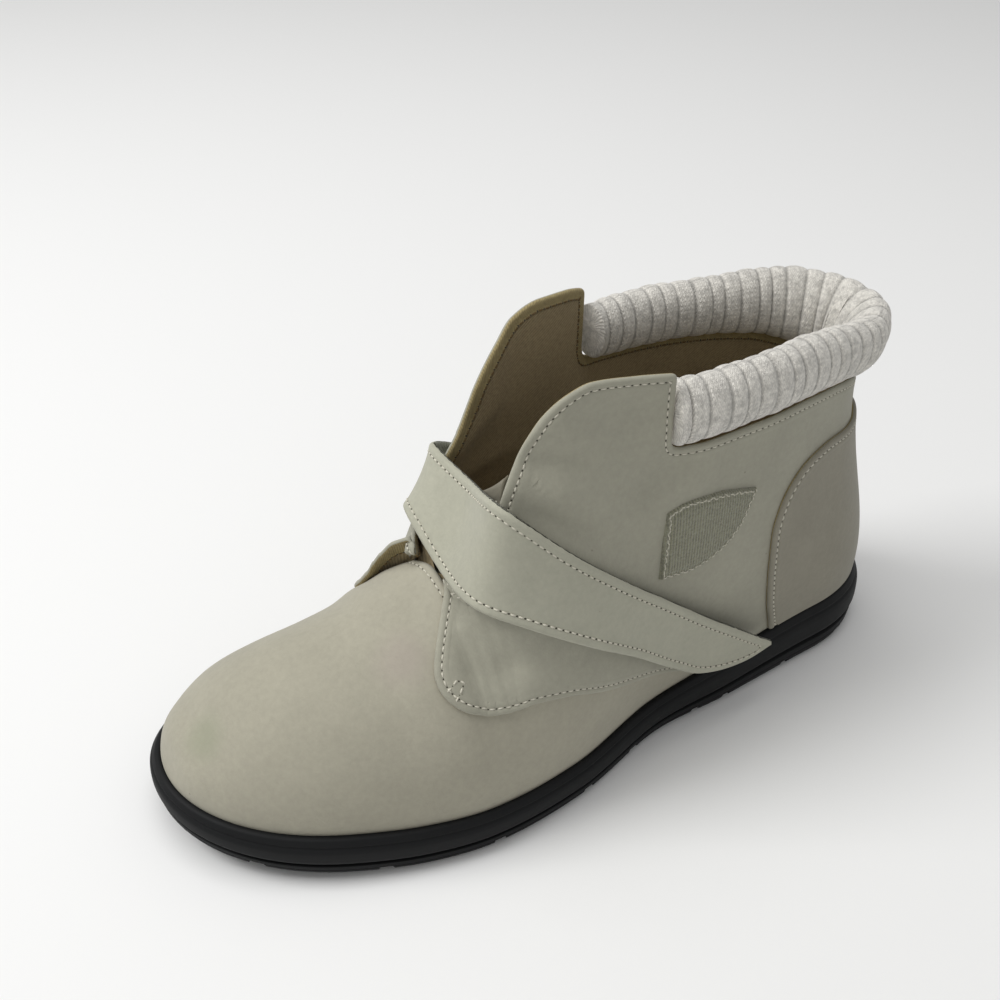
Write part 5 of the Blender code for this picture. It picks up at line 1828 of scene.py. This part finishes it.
class BOOT_OT_strap(bpy.types.Operator):
    """Make the strap with its sewn border and free tip"""
    bl_idname = "boot.strap"
    bl_label = "Strap"

    def execute(self, context):
        skin = leather("strap", colors().strap)
        under = finish_named("hook_tape", loop_tape, colors().hook)
        piece, lines = make_strap_piece("strap_band", [skin, under])
        settle(piece, "strap_nubuck", "strap")
        sew(lines, "strap_stitches", "strap_nubuck")
        return {"FINISHED"}


# Stage

CAMERA_AIM = (-0.05125, 0.01170, 0.0500)
CAMERA_AZIMUTH = 59.40
CAMERA_ELEVATION = 37.0
CAMERA_DISTANCE = 0.450
CAMERA_LENS = 43.23

# Soft boxes. Columns: name, place, side lengths, power in watts.
LIGHTS = [
    ("key", (-0.50, -1.00, 1.30), 0.7, 14.0),
    ("top", (-0.15, -0.10, 1.50), 1.0, 8.0),
    ("fill", (1.30, -0.60, 0.70), 1.4, 1.0),
]
SKY = 0.40


class BOOT_OT_stage(bpy.types.Operator):
    """Make the floor, the soft boxes, the even sky and the camera"""
    bl_idname = "boot.stage"
    bl_label = "Stage"

    def execute(self, context):
        scene = context.scene
        spread = np.array([-3.0, 3.0])
        x, y = np.meshgrid(spread, spread, indexing="ij")
        work = Patchwork()
        work.add(np.stack([x, y, 0 * x - 0.0003], -1), (0, 0, 1))
        paint = finish_named("studio_floor", plain_floor, colors().floor)
        work.build("floor", [paint])
        for name, place, size, power in LIGHTS:
            data = bpy.data.lights.new(name, "AREA")
            data.size = size
            data.energy = power
            lamp = bpy.data.objects.new(name, data)
            lamp.location = place
            aim = Vector((0, 0, 0.05)) - Vector(place)
            lamp.rotation_euler = aim.to_track_quat("-Z", "Y").to_euler()
            scene.collection.objects.link(lamp)
        world = scene.world or bpy.data.worlds.new("sky")
        scene.world = world
        world.use_nodes = True
        sky = world.node_tree.nodes["Background"].inputs
        sky[0].default_value, sky[1].default_value = (1, 1, 1, 1), SKY
        data = bpy.data.cameras.new("camera")
        data.lens = CAMERA_LENS
        data.sensor_width = 36.0
        data.clip_start = 0.01
        camera = bpy.data.objects.new("camera", data)
        turn, rise = np.radians(CAMERA_AZIMUTH), np.radians(CAMERA_ELEVATION)
        back = Vector((np.sin(turn) * np.cos(rise), -np.cos(turn) * np.cos(rise), np.sin(rise)))
        back.normalize()
        camera.location = Vector(CAMERA_AIM) + back * CAMERA_DISTANCE
        camera.rotation_euler = (-back).to_track_quat("-Z", "Y").to_euler()
        scene.collection.objects.link(camera)
        scene.camera = camera
        scene.view_settings.view_transform = "Standard"
        return {"FINISHED"}


OPERATORS = (BOOT_OT_sole, BOOT_OT_insole, BOOT_OT_vamp, BOOT_OT_quarters, BOOT_OT_tongue,
             BOOT_OT_counter, BOOT_OT_patch, BOOT_OT_collar, BOOT_OT_strap, BOOT_OT_stage)


class BOOT_PT_panel(bpy.types.Panel):
    """Sidebar panel with the boot's settings and pieces."""
    bl_label = "Winter ankle boot"
    bl_space_type = "VIEW_3D"
    bl_region_type = "UI"
    bl_category = "Boot"

    def draw(self, context):
        for operator in OPERATORS:
            self.layout.operator(operator.bl_idname)
        for group in (context.scene.boot_sizes, context.scene.boot_colors):
            for key in group.__annotations__:
                self.layout.prop(group, key)


CLASSES = (BootColors, BootSizes, BOOT_PT_panel) + OPERATORS


def register():
    """Registers the classes and the settings."""
    for item in CLASSES:
        bpy.utils.register_class(item)
    bpy.types.Scene.boot_colors = bpy.props.PointerProperty(type=BootColors)
    bpy.types.Scene.boot_sizes = bpy.props.PointerProperty(type=BootSizes)


def unregister():
    """Removes the settings and the classes."""
    del bpy.types.Scene.boot_sizes
    del bpy.types.Scene.boot_colors
    for item in reversed(CLASSES):
        bpy.utils.unregister_class(item)


def main():
    """Makes every piece in order."""
    register()
    for operator in OPERATORS:
        group, name = operator.bl_idname.split(".")
        getattr(getattr(bpy.ops, group), name)()


if __name__ == "__main__":
    main()
